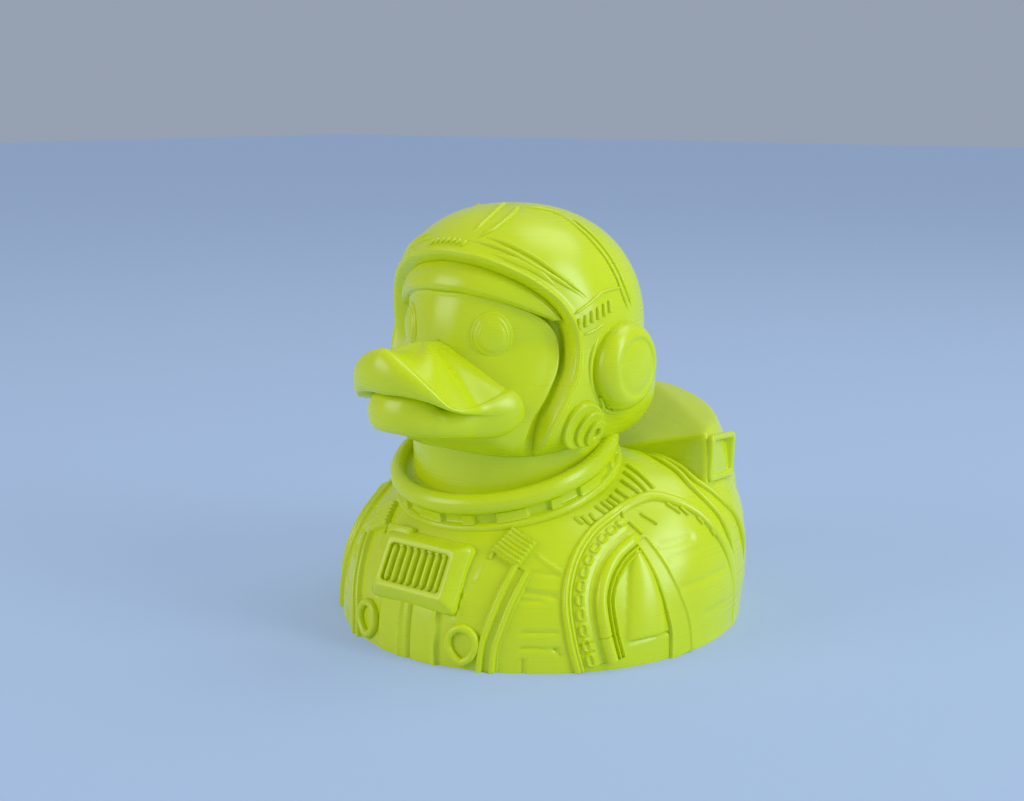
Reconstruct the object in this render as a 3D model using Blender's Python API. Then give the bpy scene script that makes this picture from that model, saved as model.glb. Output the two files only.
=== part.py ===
"""Rubber duck in a flying suit, helmet and back pack, printed in one piece with a flat base.

All lengths are in metres and all angles in degrees. The duck looks along -Y, +Z is up, its own
left side is at +X, and the origin is the middle of the flat base. Two carrier forms give every
other feature its place: the body, addressed by an azimuth from the breast and a height, and the
head, addressed by a turn from the crown towards the left ear and an opening angle from the brow.
"""
import math

import bmesh
import bpy
import numpy as np
from mathutils import Vector

# Body
BODY_HALF_WIDTH = 0.0417
BODY_FRONT = 0.0428
BODY_BACK = 0.0440
BODY_HEIGHT = 0.0350
BREAST_FULLNESS = 2.3
RUMP_FULLNESS = 4.6
RUMP_SWELL = 0.0010

# Collar, a turned ring that leans forward on the shoulders
COLLAR_RADIUS = 0.0233
COLLAR_FORWARD = 0.0111
COLLAR_DROP = 0.0050
COLLAR_LEAN = 17.0
FLANGE_RISE = 0.0019
CHANNEL_DEPTH = 0.0012
CHANNEL_RISE = 0.0022
BEAD_RISE = 0.0040
COLLAR_BLOCKS = 12

# Head and neck
HEAD_HALF_WIDTH = 0.0254
HEAD_HALF_LENGTH = 0.0266
HEAD_HALF_HEIGHT = 0.0246
HEAD_FULLNESS = 2.2
JAW_FULLNESS = 3.8
HEAD_FORWARD = 0.0100
HEAD_LIFT = 0.0260
FACE_TAPER = 0.09
NECK_RADIUS = 0.0203
FACE_RECESS = 0.0036
GROOVE_DEPTH = 0.0048
RIM_BEAD_RISE = 0.0004
VISOR_RECESS = 0.0026

# Bill
BILL_HALF_WIDTH = 0.0135
BILL_REACH = 0.0130
BILL_ROOT = 0.0150
BILL_LIFT = 0.0008
TIP_CURL = 0.0022
CHEEK_HALF_WIDTH = 0.0076
CHEEK_HALF_LENGTH = 0.0088
CHEEK_RISE = 0.0054
CHEEK_INSET = 0.0050
CHEEK_BACK = 0.0078
CHEEK_DROP = 0.0110
LOWER_BILL_INSET = 0.0036
LOWER_BILL_HEIGHT = 0.0068

# Eyes, ear cups and jaw hubs
EYE_HALF_WIDTH = 0.0038
EYE_HALF_HEIGHT = 0.0045
EYE_RISE = 0.0010
EAR_RADIUS = 0.0092
EAR_DEPTH = 0.0054
HUB_RADIUS = 0.0042
HUB_RISE = 0.0016

# Breast pack and buckles
BOX_WIDTH = 0.0170
BOX_HEIGHT = 0.0098
BOX_RISE = 0.0022
BOX_BEVEL = 0.0022
BOX_RIBS = 8
BUCKLE_RADIUS = 0.0023
BUCKLE_WIRE = 0.0016
BUCKLE_AZIMUTH = 16.5
BUCKLE_HEIGHT = 0.0054
STRAP_RISE = 0.0008

# Sleeve arches
ARCH_CENTRE = 80.0
ARCH_FRONT = 38.0
ARCH_REAR = 26.0
ARCH_HEIGHT = 0.0297
ARCH_FULLNESS = 2.5
ARCH_BEAD = 0.0020
SLEEVE_RISE = 0.0013
LINK_COUNT = 11

# Back pack
PACK_HALF_WIDTH = 0.0255
PACK_HALF_LENGTH = 0.0170
PACK_RISE = 0.0085
PACK_BACK = 0.0275
PACK_FULLNESS = 2.3
PORT_WIDTH = 0.0090
PORT_HEIGHT = 0.0112
PORT_REACH = 0.0042
PORT_WALL = 0.0011
PORT_AZIMUTH = 97.0

ROUND_STEPS = 36
LEFT, RIGHT = 1.0, -1.0


def smooth_step(low, high, value):
    """Rises from 0 at low to 1 at high with level ends."""
    share = np.clip((value - low) / (high - low), 0.0, 1.0)
    return share * share * (3.0 - 2.0 * share)


def smooth_curve(stations, values, at):
    """Cubic through the stations, with each slope taken from its two neighbours."""
    stations, values = np.asarray(stations, float), np.asarray(values, float)
    slopes = np.gradient(values, stations)
    at = np.clip(at, stations[0], stations[-1])
    index = np.clip(np.searchsorted(stations, at) - 1, 0, len(stations) - 2)
    span = stations[index + 1] - stations[index]
    t = (at - stations[index]) / span
    start = (1 + 2 * t) * (1 - t) ** 2 * values[index] + t * (1 - t) ** 2 * slopes[index] * span
    end = t * t * (3 - 2 * t) * values[index + 1] - t * t * (1 - t) * slopes[index + 1] * span
    return start + end


def body_radius(azimuth, height):
    """Distance of the body's skin from the upright axis."""
    angle = np.radians(azimuth)
    rump = smooth_step(60.0, 120.0, np.abs(azimuth))
    length = BODY_FRONT + (BODY_BACK - BODY_FRONT) * rump
    reach = 1.0 / np.hypot(np.sin(angle) / BODY_HALF_WIDTH, np.cos(angle) / length)
    fullness = BREAST_FULLNESS + (RUMP_FULLNESS - BREAST_FULLNESS) * rump
    share = np.clip(height / BODY_HEIGHT, 0.0, 0.99999)
    swell = RUMP_SWELL * rump * smooth_step(0.0, 0.3, share)
    return (reach + swell) * (1.0 - share ** fullness) ** (1.0 / fullness)


def body_place(azimuth, height):
    angle = math.radians(azimuth)
    radius = float(body_radius(azimuth, height))
    return Vector((radius * math.sin(angle), -radius * math.cos(angle), height))


def body_normal(azimuth, height):
    step = 0.0002
    level = min(max(height, step), BODY_HEIGHT * 0.97)
    up = body_place(azimuth, level + step) - body_place(azimuth, level - step)
    side = body_place(azimuth + 0.3, level) - body_place(azimuth - 0.3, level)
    return side.cross(up).normalized()


def body_point(azimuth, height, rise=0.0):
    return body_place(azimuth, height) + body_normal(azimuth, height) * rise


HEAD_CENTRE = Vector((0.0, -HEAD_FORWARD, BODY_HEIGHT + HEAD_LIFT))


def head_point(turn, opening, rise=0.0):
    """A point of the head: opening is the angle from the brow, turn goes round it from the crown."""
    turn, opening = math.radians(turn), math.radians(opening)
    way = Vector((math.sin(opening) * math.sin(turn), -math.cos(opening), math.sin(opening) * math.cos(turn)))
    fullness = HEAD_FULLNESS + (JAW_FULLNESS - HEAD_FULLNESS) * float(smooth_step(0.0, 0.5, -way.z))
    size = ((abs(way.x) / HEAD_HALF_WIDTH) ** fullness + (abs(way.y) / HEAD_HALF_LENGTH) ** fullness
            + (abs(way.z) / HEAD_HALF_HEIGHT) ** fullness) ** (-1.0 / fullness)
    front = max(0.0, -way.y)
    size *= 1.0 - 4.0 * FACE_TAPER * (way.x * front) ** 2
    return HEAD_CENTRE + way * (size + rise)


def rim_opening(turn):
    """Opening angle of the groove round the face, from the crown to the throat."""
    return float(smooth_curve([-20, 20, 42, 59, 75, 95, 122, 138, 150, 161, 180, 220],
                              [36, 37, 42, 51, 60, 65, 61, 63, 72, 92, 104, 92], abs(turn)))


def visor_opening(turn):
    """Opening angle of the visor's lower edge."""
    return float(smooth_curve([-20, 20, 45, 61, 77], [22, 23, 29, 39, 57], abs(turn)))


def loft(rings, closed=True):
    """Skins a row of rings, each a list of points or one point, and returns a closed bmesh."""
    mesh = bmesh.new()
    rows = [[mesh.verts.new(point) for point in ring] for ring in rings]
    for first, second in zip(rows, rows[1:]):
        count = max(len(first), len(second))
        for index in range(count):
            after = (index + 1) % count
            corners = [first[index % len(first)], first[after % len(first)],
                       second[after % len(second)], second[index % len(second)]]
            mesh.faces.new(list(dict.fromkeys(corners)))
    for row in (rows[0], rows[-1]):
        if len(row) > 2 and closed:
            mesh.faces.new(row)
    bmesh.ops.recalc_face_normals(mesh, faces=mesh.faces)
    return mesh


def make_object(name, mesh):
    data = bpy.data.meshes.new(name)
    mesh.to_mesh(data)
    mesh.free()
    item = bpy.data.objects.new(name, data)
    bpy.context.collection.objects.link(item)
    return item


def sweep(places, normals, section, closed=False):
    """Carries a section of (across, out) pairs along places that lie on a surface with normals."""
    rings = []
    count = len(places)
    for index in range(count):
        before = places[index - 1] if closed or index else places[0]
        after = places[(index + 1) % count] if closed or index < count - 1 else places[-1]
        along = (after - before).normalized()
        across = along.cross(normals[index]).normalized()
        out = across.cross(along).normalized()
        rings.append([places[index] + across * a + out * b for a, b in section])
    if not closed:
        return loft(rings)
    mesh = loft(rings + [rings[0]], closed=False)
    bmesh.ops.remove_doubles(mesh, verts=mesh.verts, dist=1e-7)
    bmesh.ops.recalc_face_normals(mesh, faces=mesh.faces)
    return mesh


def bead_section(width, rise, sink=0.0010):
    """Ridge that stands on a surface and is rooted below it, with a rounded back where it is wide."""
    half = width / 2
    if width < 0.0014:
        return [(-half, -sink), (-half * 0.6, rise), (half * 0.6, rise), (half, -sink)]
    return [(-half, -sink), (-half, rise * 0.35), (-half * 0.45, rise), (half * 0.45, rise),
            (half, rise * 0.35), (half, -sink)]


def body_band(track, width, rise, side=LEFT, sink=0.0010):
    """A ridge along a track of (azimuth, height) stations on the body."""
    places = [body_point(side * a, h) for a, h in track]
    normals = [body_normal(side * a, h) for a, h in track]
    return sweep(places, normals, bead_section(width, rise, sink))


def head_normal(turn, opening):
    up = head_point(turn, opening + 0.5) - head_point(turn, opening - 0.5)
    side = head_point(turn + 0.5, opening) - head_point(turn - 0.5, opening)
    normal = up.cross(side).normalized()
    return normal if normal.dot(head_point(turn, opening) - HEAD_CENTRE) > 0 else -normal


def head_band(track, width, rise, side=LEFT, sink=0.0010):
    """A ridge along a track of (turn, opening) stations on the helmet."""
    places = [head_point(side * t, o) for t, o in track]
    normals = [head_normal(side * t, o) for t, o in track]
    return sweep(places, normals, bead_section(width, rise, sink))


def along(stations, values, count):
    """Evenly spaced stations with the smooth curve's value at each."""
    spots = np.linspace(stations[0], stations[-1], count)
    return list(zip(spots.tolist(), smooth_curve(stations, values, spots).tolist()))


def body_mesh():
    shares = [0.0, 0.12, 0.26, 0.4, 0.53, 0.65, 0.75, 0.83, 0.9, 0.95, 0.985]
    azimuths = np.linspace(-180, 180, ROUND_STEPS, endpoint=False)
    rings = [[body_place(a, share * BODY_HEIGHT) for a in azimuths] for share in shares]
    rings.append([Vector((0.0, 0.0, BODY_HEIGHT))])
    return loft(rings)


COLLAR_FOOT = Vector((0.0, -COLLAR_FORWARD, BODY_HEIGHT - COLLAR_DROP))
COLLAR_AXIS = Vector((0.0, -math.sin(math.radians(COLLAR_LEAN)), math.cos(math.radians(COLLAR_LEAN))))
COLLAR_FRONT = Vector((0.0, -math.cos(math.radians(COLLAR_LEAN)), -math.sin(math.radians(COLLAR_LEAN))))


def collar_point(azimuth, radius, level):
    angle = math.radians(azimuth)
    flat = COLLAR_FRONT * math.cos(angle) + Vector((1, 0, 0)) * math.sin(angle)
    return COLLAR_FOOT + flat * radius + COLLAR_AXIS * level


def collar_mesh():
    """Lower flange, sunk channel and upper bead, turned about the leaning axis."""
    channel = COLLAR_RADIUS - CHANNEL_DEPTH
    top = FLANGE_RISE + CHANNEL_RISE
    profile = [(channel, -0.0045), (channel, 0.0), (COLLAR_RADIUS, 0.0002), (COLLAR_RADIUS, FLANGE_RISE * 0.75),
               (channel, FLANGE_RISE), (channel, top), (COLLAR_RADIUS, top + BEAD_RISE * 0.1),
               (COLLAR_RADIUS + 0.0003, top + BEAD_RISE * 0.5), (COLLAR_RADIUS - 0.0008, top + BEAD_RISE),
               (COLLAR_RADIUS - 0.0021, top + BEAD_RISE), (NECK_RADIUS + 0.0004, top + BEAD_RISE * 0.55)]
    azimuths = np.linspace(-180, 180, ROUND_STEPS, endpoint=False)
    rings = [[COLLAR_FOOT - COLLAR_AXIS * 0.0045]]
    rings += [[collar_point(a, radius, level) for a in azimuths] for radius, level in profile]
    rings.append([collar_point(0.0, 0.0, top + BEAD_RISE * 0.4)])
    return loft(rings)


def collar_blocks():
    """Upright blocks that cross the collar's channel, wide and narrow by turns."""
    blocks = []
    for index in range(COLLAR_BLOCKS):
        middle = (index + 0.5) * 300.0 / COLLAR_BLOCKS - 150.0
        half = 4.5 if index % 2 else 2.0
        low, high = FLANGE_RISE * 0.5, FLANGE_RISE + CHANNEL_RISE * 1.15
        face = COLLAR_RADIUS - CHANNEL_DEPTH * 0.3
        root = COLLAR_RADIUS - CHANNEL_DEPTH - 0.001
        rings = []
        for azimuth in (middle - half, middle, middle + half):
            rings.append([collar_point(azimuth, root, low), collar_point(azimuth, face, low),
                          collar_point(azimuth, face, high), collar_point(azimuth, root, high)])
        blocks.append(loft(rings))
    return blocks


def neck_mesh():
    azimuths = np.radians(np.linspace(0, 360, 32, endpoint=False))
    centre = Vector((0.0, HEAD_CENTRE.y, 0.0))
    levels = [BODY_HEIGHT * 0.6, HEAD_CENTRE.z - HEAD_HALF_HEIGHT * 0.45]
    return loft([[centre + Vector((NECK_RADIUS * math.sin(a), -NECK_RADIUS * math.cos(a), level))
                  for a in azimuths] for level in levels])


def head_mesh():
    """Face, groove, rim bead and helmet as rings round the brow axis."""
    turns = np.linspace(-180, 180, ROUND_STEPS, endpoint=False)
    rings = [[head_point(0.0, 0.0, -FACE_RECESS)]]
    for share in (0.3, 0.6, 0.85):
        rings.append([head_point(t, (rim_opening(t) - 5.0) * share, -FACE_RECESS) for t in turns])
    edge = [(-4.5, -FACE_RECESS + 0.0003), (-3.6, -FACE_RECESS - 0.0002), (-1.2, -GROOVE_DEPTH), (0.2, -GROOVE_DEPTH),
            (1.6, 0.0), (3.0, RIM_BEAD_RISE), (4.6, RIM_BEAD_RISE * 0.6), (5.6, 0.0)]
    for offset, rise in edge:
        rings.append([head_point(t, rim_opening(t) + offset, rise) for t in turns])
    for share in (0.17, 0.34, 0.51, 0.68, 0.85):
        ring = []
        for t in turns:
            start = rim_opening(t) + 5.6
            ring.append(head_point(t, start + (180.0 - start) * share))
        rings.append(ring)
    rings.append([head_point(0.0, 180.0)])
    return loft(rings)


def visor_mesh():
    """Raised visor: a slab between its lower edge and the groove, pointed at both ends."""
    rings = []
    for turn in np.linspace(-76.0, 76.0, 21):
        low, high = visor_opening(turn), rim_opening(turn) + 0.6
        high = max(high, low + 1.5)
        span = high - low
        rings.append([head_point(turn, low, -0.0045), head_point(turn, low, -VISOR_RECESS - 0.0008),
                      head_point(turn, low + span * 0.12, -VISOR_RECESS),
                      head_point(turn, low + span * 0.5, -VISOR_RECESS + 0.0003),
                      head_point(turn, high, -VISOR_RECESS - 0.0004), head_point(turn, high, -0.0045)])
    return loft(rings)


BILL_CENTRE = Vector((0.0, HEAD_CENTRE.y - HEAD_HALF_LENGTH - 0.0006, 0.0))


def bill_plan(angle, scale, width, reach, root):
    """Plan of the bill: round in front, straight cheeks behind, angle 0 at the tip."""
    side, front = math.sin(angle), math.cos(angle)
    length = reach if front > 0 else root
    power = 2.0 if front > 0 else 3.0
    size = (abs(side) ** power + abs(front) ** power) ** (-1.0 / power)
    flare = 1.0 + 0.12 * (front < 0) * min(1.0, -front * 1.6)
    return Vector((width * flare * side * size * scale, BILL_CENTRE.y - length * front * size * scale, 0.0))


def upper_bill_mesh():
    """Broad saddle whose tip curls up into a thick rounded rim."""
    angles = [math.radians(a) for a in np.linspace(-180, 180, 32, endpoint=False)]
    mid = HEAD_CENTRE.z - BILL_LIFT
    corner = mid - 0.0122
    rings = [[Vector((0, BILL_CENTRE.y, mid))]]

    def ring(scale, rule):
        out = []
        for angle in angles:
            tip = float(smooth_step(90.0, 12.0, abs(math.degrees(angle))))
            point = bill_plan(angle, scale(0.96 - 0.17 * tip), BILL_HALF_WIDTH, BILL_REACH, BILL_ROOT)
            point.z = rule(tip, angle)
            out.append(point)
        return out

    def rim_height(tip, angle):
        return corner + (mid + TIP_CURL - corner) * tip

    def crown(scale):
        def rule(tip, angle):
            spine = mid - 0.0012 * tip * math.sin(math.pi * scale)
            power = 2.0 + 1.6 * float(smooth_step(80.0, 130.0, abs(math.degrees(angle))))
            return spine + (rim_height(tip, angle) - spine) * scale ** power
        return rule

    def lip(share):
        def rule(tip, angle):
            foot = corner - 0.0004 + 0.0042 * float(smooth_step(85.0, 25.0, abs(math.degrees(angle))))
            return rim_height(tip, angle) * (1 - share) + foot * share
        return rule

    for scale in (0.36, 0.66, 0.88, 1.0):
        rings.append(ring(lambda edge, scale=scale: edge * scale, crown(scale)))
    for roll in np.radians([55.0, 25.0, -5.0, -35.0, -65.0]):
        out, share = math.cos(roll), (1.0 - math.sin(roll)) / 2
        rings.append(ring(lambda edge, out=out: edge + (1.0 - edge) * out, lip(share)))
    rings.append(ring(lambda edge: edge * 0.97, lip(1.0)))
    rings.append([Vector((0, BILL_CENTRE.y, corner))])
    return loft(rings)


def lower_bill_mesh():
    """Tongue-shaped lower bill under the upper one."""
    angles = [math.radians(a) for a in np.linspace(-180, 180, 26, endpoint=False)]
    top = HEAD_CENTRE.z - BILL_LIFT - 0.0095
    base = top - LOWER_BILL_HEIGHT
    width, reach = BILL_HALF_WIDTH - LOWER_BILL_INSET + 0.0010, BILL_REACH - LOWER_BILL_INSET
    rings = [[Vector((0, BILL_CENTRE.y, top))]]
    for scale, share in ((0.6, 0.98), (0.9, 0.95), (1.0, 0.78), (1.02, 0.5), (0.97, 0.22), (0.8, 0.03), (0.5, -0.05)):
        ring = []
        for angle in angles:
            point = bill_plan(angle, scale, width, reach, BILL_ROOT)
            droop = -0.0022 * float(smooth_step(60.0, 110.0, abs(math.degrees(angle))))
            point.z = base + (top - base) * share + droop
            ring.append(point)
        rings.append(ring)
    rings.append([Vector((0, BILL_CENTRE.y, base - 0.0006))])
    return loft(rings)


def cheek_mesh(side):
    """Rounded lobe behind the corner of the mouth, where the two halves of the bill meet."""
    centre = Vector((side * (BILL_HALF_WIDTH - CHEEK_INSET), BILL_CENTRE.y + CHEEK_BACK,
                     HEAD_CENTRE.z - BILL_LIFT - CHEEK_DROP))
    frame = (centre, Vector((0, 0, 1)), Vector((1, 0, 0)), Vector((0, 1, 0)))
    belt = [(math.cos(a), math.sin(a) * CHEEK_RISE) for a in np.radians([-60, -30, 0, 30, 60])]
    return dome(frame, CHEEK_HALF_WIDTH, CHEEK_HALF_LENGTH, [(0.0, -CHEEK_RISE)] + belt + [(0.0, CHEEK_RISE)], steps=16)


def disc_frame(place, normal):
    up = (Vector((0, 0, 1)) - normal * normal.z).normalized()
    return place, normal, up.cross(normal), up


def dome(frame, width, height, profile, steps=24):
    """Oval stack of rings on a frame; the profile holds (scale, rise) pairs."""
    place, normal, across, up = frame
    rings = []
    for scale, rise in profile:
        if scale == 0.0:
            rings.append([place + normal * rise])
            continue
        rings.append([place + across * (width * scale * math.cos(a)) + up * (height * scale * math.sin(a))
                      + normal * rise for a in np.radians(np.linspace(0, 360, steps, endpoint=False))])
    return loft(rings)


EYE_TURN, EYE_OPENING = 82.0, 28.6
EAR_CENTRE_BACK = 0.0022
EAR_CENTRE_DROP = 0.0058


def eye_mesh(side):
    place = head_point(side * EYE_TURN, EYE_OPENING, -FACE_RECESS)
    frame = disc_frame(place, head_normal(side * EYE_TURN, EYE_OPENING))
    rise = EYE_RISE
    return dome(frame, EYE_HALF_WIDTH, EYE_HALF_HEIGHT,
                [(1.12, -0.0012), (1.12, 0.0), (0.98, -0.0001), (0.88, rise * 0.45), (0.55, rise * 0.9),
                 (0.0, rise)], steps=14)


def ear_mesh(side):
    """Ear cup: base ring, rounded dome."""
    root = HEAD_HALF_WIDTH - 0.0030
    place = HEAD_CENTRE + Vector((side * root, EAR_CENTRE_BACK, -EAR_CENTRE_DROP))
    frame = (place, Vector((side, 0, 0)), Vector((0, side, 0)), Vector((0, 0, 1)))
    ring, depth = EAR_RADIUS, EAR_DEPTH
    lift = 0.0026
    return dome(frame, ring, ring,
                [(0.95, -0.004), (1.04, lift * 0.5), (1.04, lift), (0.95, lift + 0.0004), (0.93, lift + depth * 0.4),
                 (0.76, lift + depth * 0.78), (0.42, lift + depth * 0.96), (0.0, lift + depth)], steps=20)


def hub_mesh(side):
    place = head_point(side * 132.0, 77.0)
    frame = disc_frame(place, head_normal(side * 132.0, 77.0))
    rise = HUB_RISE
    return dome(frame, HUB_RADIUS, HUB_RADIUS * 1.15,
                [(1.0, -0.0015), (1.0, rise * 0.6), (0.8, rise * 0.8), (0.66, rise * 0.4), (0.5, rise),
                 (0.24, rise), (0.0, rise * 0.4)], steps=12)


def box_frame():
    """Middle of the breast pack's face, leaning with the breast."""
    low, high = 0.35 * BODY_HEIGHT, 0.60 * BODY_HEIGHT
    up = (body_place(0.0, high) - body_place(0.0, low)).normalized()
    middle = (body_place(0.0, high) + body_place(0.0, low)) * 0.5
    across = Vector((1, 0, 0))
    normal = across.cross(up).normalized()
    return middle, normal, across, up


def slab(frame, width, height, levels):
    """Rectangular block with bevelled corners; levels hold (growth, rise) pairs."""
    place, normal, across, up = frame
    rings = []
    for growth, rise in levels:
        w, h, c = width / 2 + growth, height / 2 + growth, min(0.0008, width / 6)
        outline = [(-w, -h + c), (-w + c, -h), (w - c, -h), (w, -h + c), (w, h - c), (w - c, h), (-w + c, h), (-w, h - c)]
        rings.append([place + across * x + up * y + normal * rise for x, y in outline])
    return loft(rings)


def box_pieces():
    middle, normal, across, up = box_frame()
    frame = (middle, normal, across, up)
    body = slab(frame, BOX_WIDTH, BOX_HEIGHT, [(BOX_BEVEL, -0.0040), (BOX_BEVEL, 0.0002), (0.0, BOX_RISE)])
    pocket = slab(frame, BOX_WIDTH - 0.0022, BOX_HEIGHT - 0.0020, [(0.0, BOX_RISE - 0.0008), (0.0, BOX_RISE + 0.001)])
    ribs = []
    pitch = (BOX_WIDTH - 0.0022) / BOX_RIBS
    for index in range(BOX_RIBS):
        spot = middle + across * (pitch * (index + 0.5) - (BOX_WIDTH - 0.0022) / 2)
        ribs.append(slab((spot, normal, across, up), pitch * 0.5, BOX_HEIGHT - 0.0016,
                         [(0.0, BOX_RISE - 0.0012), (0.0, BOX_RISE - 0.0001)]))
    return body, pocket, ribs


def buckle_mesh(side):
    """Teardrop ring that hangs point down on the strap's end."""
    places, normals = [], []
    degrees_per_metre = math.degrees(1.0 / BODY_FRONT)
    radius = BUCKLE_RADIUS
    for angle in np.radians(np.linspace(0, 360, 16, endpoint=False)):
        across = radius * math.sin(angle)
        drop = -radius * math.cos(angle)
        if drop < 0:
            drop *= 1.45 - 0.25 * abs(math.sin(angle))
            across *= 0.86 + 0.14 * abs(math.sin(angle)) ** 2
        azimuth = side * BUCKLE_AZIMUTH + across * degrees_per_metre
        height = BUCKLE_HEIGHT + drop
        places.append(body_point(azimuth, height, BUCKLE_WIRE * 0.15))
        normals.append(body_normal(azimuth, height))
    half = BUCKLE_WIRE / 2
    section = [(half * math.cos(a), half * 1.1 * math.sin(a)) for a in np.radians(np.arange(0, 360, 72))]
    return sweep(places, normals, section, closed=True)


def arch_track(width, height, count=17, start=0.0006):
    """Stations of an arch over the sleeve, from the front foot over the top to the rear foot."""
    track = []
    for angle in np.linspace(0.0, 180.0, count):
        c, s = math.cos(math.radians(angle)), math.sin(math.radians(angle))
        reach = (ARCH_FRONT if c > 0 else ARCH_REAR) * width
        size = (abs(c) ** ARCH_FULLNESS + abs(s) ** ARCH_FULLNESS) ** (-1.0 / ARCH_FULLNESS)
        track.append((ARCH_CENTRE - reach * c * size, max(start, ARCH_HEIGHT * height * s * size)))
    return track


def sleeve_pieces(side):
    pieces = [body_band(arch_track(1.0, 1.0), ARCH_BEAD, 0.0010, side)]
    pieces.append(body_band(arch_track(0.70, 0.88, 15), 0.0034, SLEEVE_RISE, side))
    pieces.append(body_band(arch_track(0.60, 0.84, 13), 0.0009, 0.0008, side))
    track = arch_track(0.86, 0.945, 4 * LINK_COUNT + 1)
    for index in range(LINK_COUNT):
        first = 2 + index * 2
        places = track[first:first + 3]
        start, end = np.array(places[0]), np.array(places[-1])
        stations = [tuple(start + (end - start) * share) for share in (0.1, 0.9)]
        pieces.append(body_band(stations, 0.0019, 0.0009, side))
    pieces.append(body_band(along([68.0, 74.0, 76.0], [0.0200, 0.0100, 0.0006], 7), 0.0010, 0.0006, side))
    pieces.append(body_band(along([72.0, 81.0, 84.0], [0.0220, 0.0090, 0.0006], 7), 0.0010, 0.0006, side))
    return pieces


def strap_pieces(side):
    """Harness strap from the collar to the base, with a double bead on its outer edge."""
    heights = np.linspace(0.0006, 0.0222, 6)
    outer = smooth_curve([0.0, 0.010, 0.0154, 0.0205, 0.025], [23.5, 25.0, 29.0, 35.0, 41.0], heights)
    inner = smooth_curve([0.0, 0.010, 0.0154, 0.0205, 0.025], [16.0, 18.0, 22.0, 25.5, 29.0], heights)
    pieces = [body_band(list(zip(outer, heights)), 0.0011, STRAP_RISE, side),
              body_band(list(zip(outer + 3.0, heights))[:4], 0.0011, STRAP_RISE, side),
              body_band(list(zip(inner, heights))[2:], 0.0008, STRAP_RISE * 0.6, side)]
    for index in range(5):
        azimuth = 28.0 + 2.9 * index
        pieces.append(body_band([(azimuth, 0.0205 + 0.0008 * index), (azimuth + 1.0, 0.0245 + 0.0006 * index)],
                                0.0009, STRAP_RISE, side))
    return pieces


def ladder_pieces(side):
    """Short ribs between the collar and the top of the sleeve arch."""
    pieces = []
    for index in range(9):
        azimuth = 47.0 + 4.3 * index
        height = 0.0250 + 0.00072 * index
        pieces.append(body_band([(azimuth, height), (azimuth + 0.8, height + 0.0026)], 0.0009, 0.0006, side))
    return pieces


def pack_mesh():
    """Back pack: a full rounded hump that rises behind the collar to the tail."""
    centre = Vector((0.0, PACK_BACK, BODY_HEIGHT * 0.6))
    rise = BODY_HEIGHT * 0.4 + PACK_RISE
    rings = [[centre + Vector((0, 0, rise))]]
    for tilt in np.radians([14, 28, 42, 56, 70, 84, 100]):
        ring = []
        for spin in np.radians(np.linspace(0, 360, 28, endpoint=False)):
            way = Vector((math.sin(tilt) * math.sin(spin), -math.sin(tilt) * math.cos(spin), math.cos(tilt)))
            size = ((abs(way.x) / PACK_HALF_WIDTH) ** PACK_FULLNESS + (abs(way.y) / PACK_HALF_LENGTH) ** PACK_FULLNESS
                    + (abs(way.z) / rise) ** PACK_FULLNESS) ** (-1.0 / PACK_FULLNESS)
            ring.append(centre + way * size)
        rings.append(ring)
    return loft(rings)


def port_pieces(side):
    """Square nozzle at the pack's rear corner, with its hollow."""
    way = Vector((side * math.sin(math.radians(PORT_AZIMUTH)), -math.cos(math.radians(PORT_AZIMUTH)), 0.0))
    place = Vector((side * (PACK_HALF_WIDTH - 0.0015), PACK_BACK, BODY_HEIGHT - 0.0055))
    frame = (place, way, Vector((0, 0, 1)).cross(way) * side, Vector((0, 0, 1)))
    outer = slab(frame, PORT_WIDTH, PORT_HEIGHT, [(0.0008, -0.0120), (0.0003, PORT_REACH - 0.0005), (0.0, PORT_REACH)])
    hollow = slab(frame, PORT_WIDTH - 2 * PORT_WALL, PORT_HEIGHT - 2 * PORT_WALL,
                  [(-0.0003, PORT_REACH - 0.0025), (0.0, PORT_REACH + 0.002)])
    return outer, hollow


def pack_strap(side):
    """Bead that leaves the collar, passes the pack's foot and runs down the flank."""
    track = along([88.0, 95.0, 100.0, 107.0, 112.0], [0.0340, 0.0325, 0.0288, 0.0225, 0.0120], 8)
    return body_band(track, 0.0022, 0.0010, side)


def helmet_pieces():
    """Ridges of the helmet, the same on both sides."""
    pieces = []
    for side in (LEFT, RIGHT):
        pieces.append(head_band(along([22.0, 34.0, 54.0, 71.0], [46.0, 51.0, 60.0, 73.5], 6), 0.0013, 0.0007, side))
        pieces.append(head_band(along([27.0, 38.0, 56.0, 73.0], [44.5, 48.5, 57.0, 69.0], 6), 0.0008, 0.0005, side))
        pieces.append(head_band([(o, t) for o, t in along([18.0, 35.0, 49.0, 62.0, 78.0], [90, 93, 97, 99, 104], 7)],
                                0.0011, 0.0006, side))
        for offset in (-2.2, 2.2):
            pieces.append(head_band([(15.0 + offset, 48.0), (11.0 + offset * 0.8, 62.0), (5.0 + offset * 0.7, 84.0)],
                                    0.0010, 0.0006, side))
        for index in range(6):
            turn = 81.0 - 0.9 * index
            opening = 69.0 + 3.5 * index
            pieces.append(head_band([(turn - 2.0, opening), (turn + 2.6, opening)], 0.0009, 0.0006, side))
    for index in range(5):
        turn = -12.0 + 6.0 * index
        pieces.append(head_band([(turn, 42.0), (turn, 45.5)], 0.0009, 0.0005))
    return pieces


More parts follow.
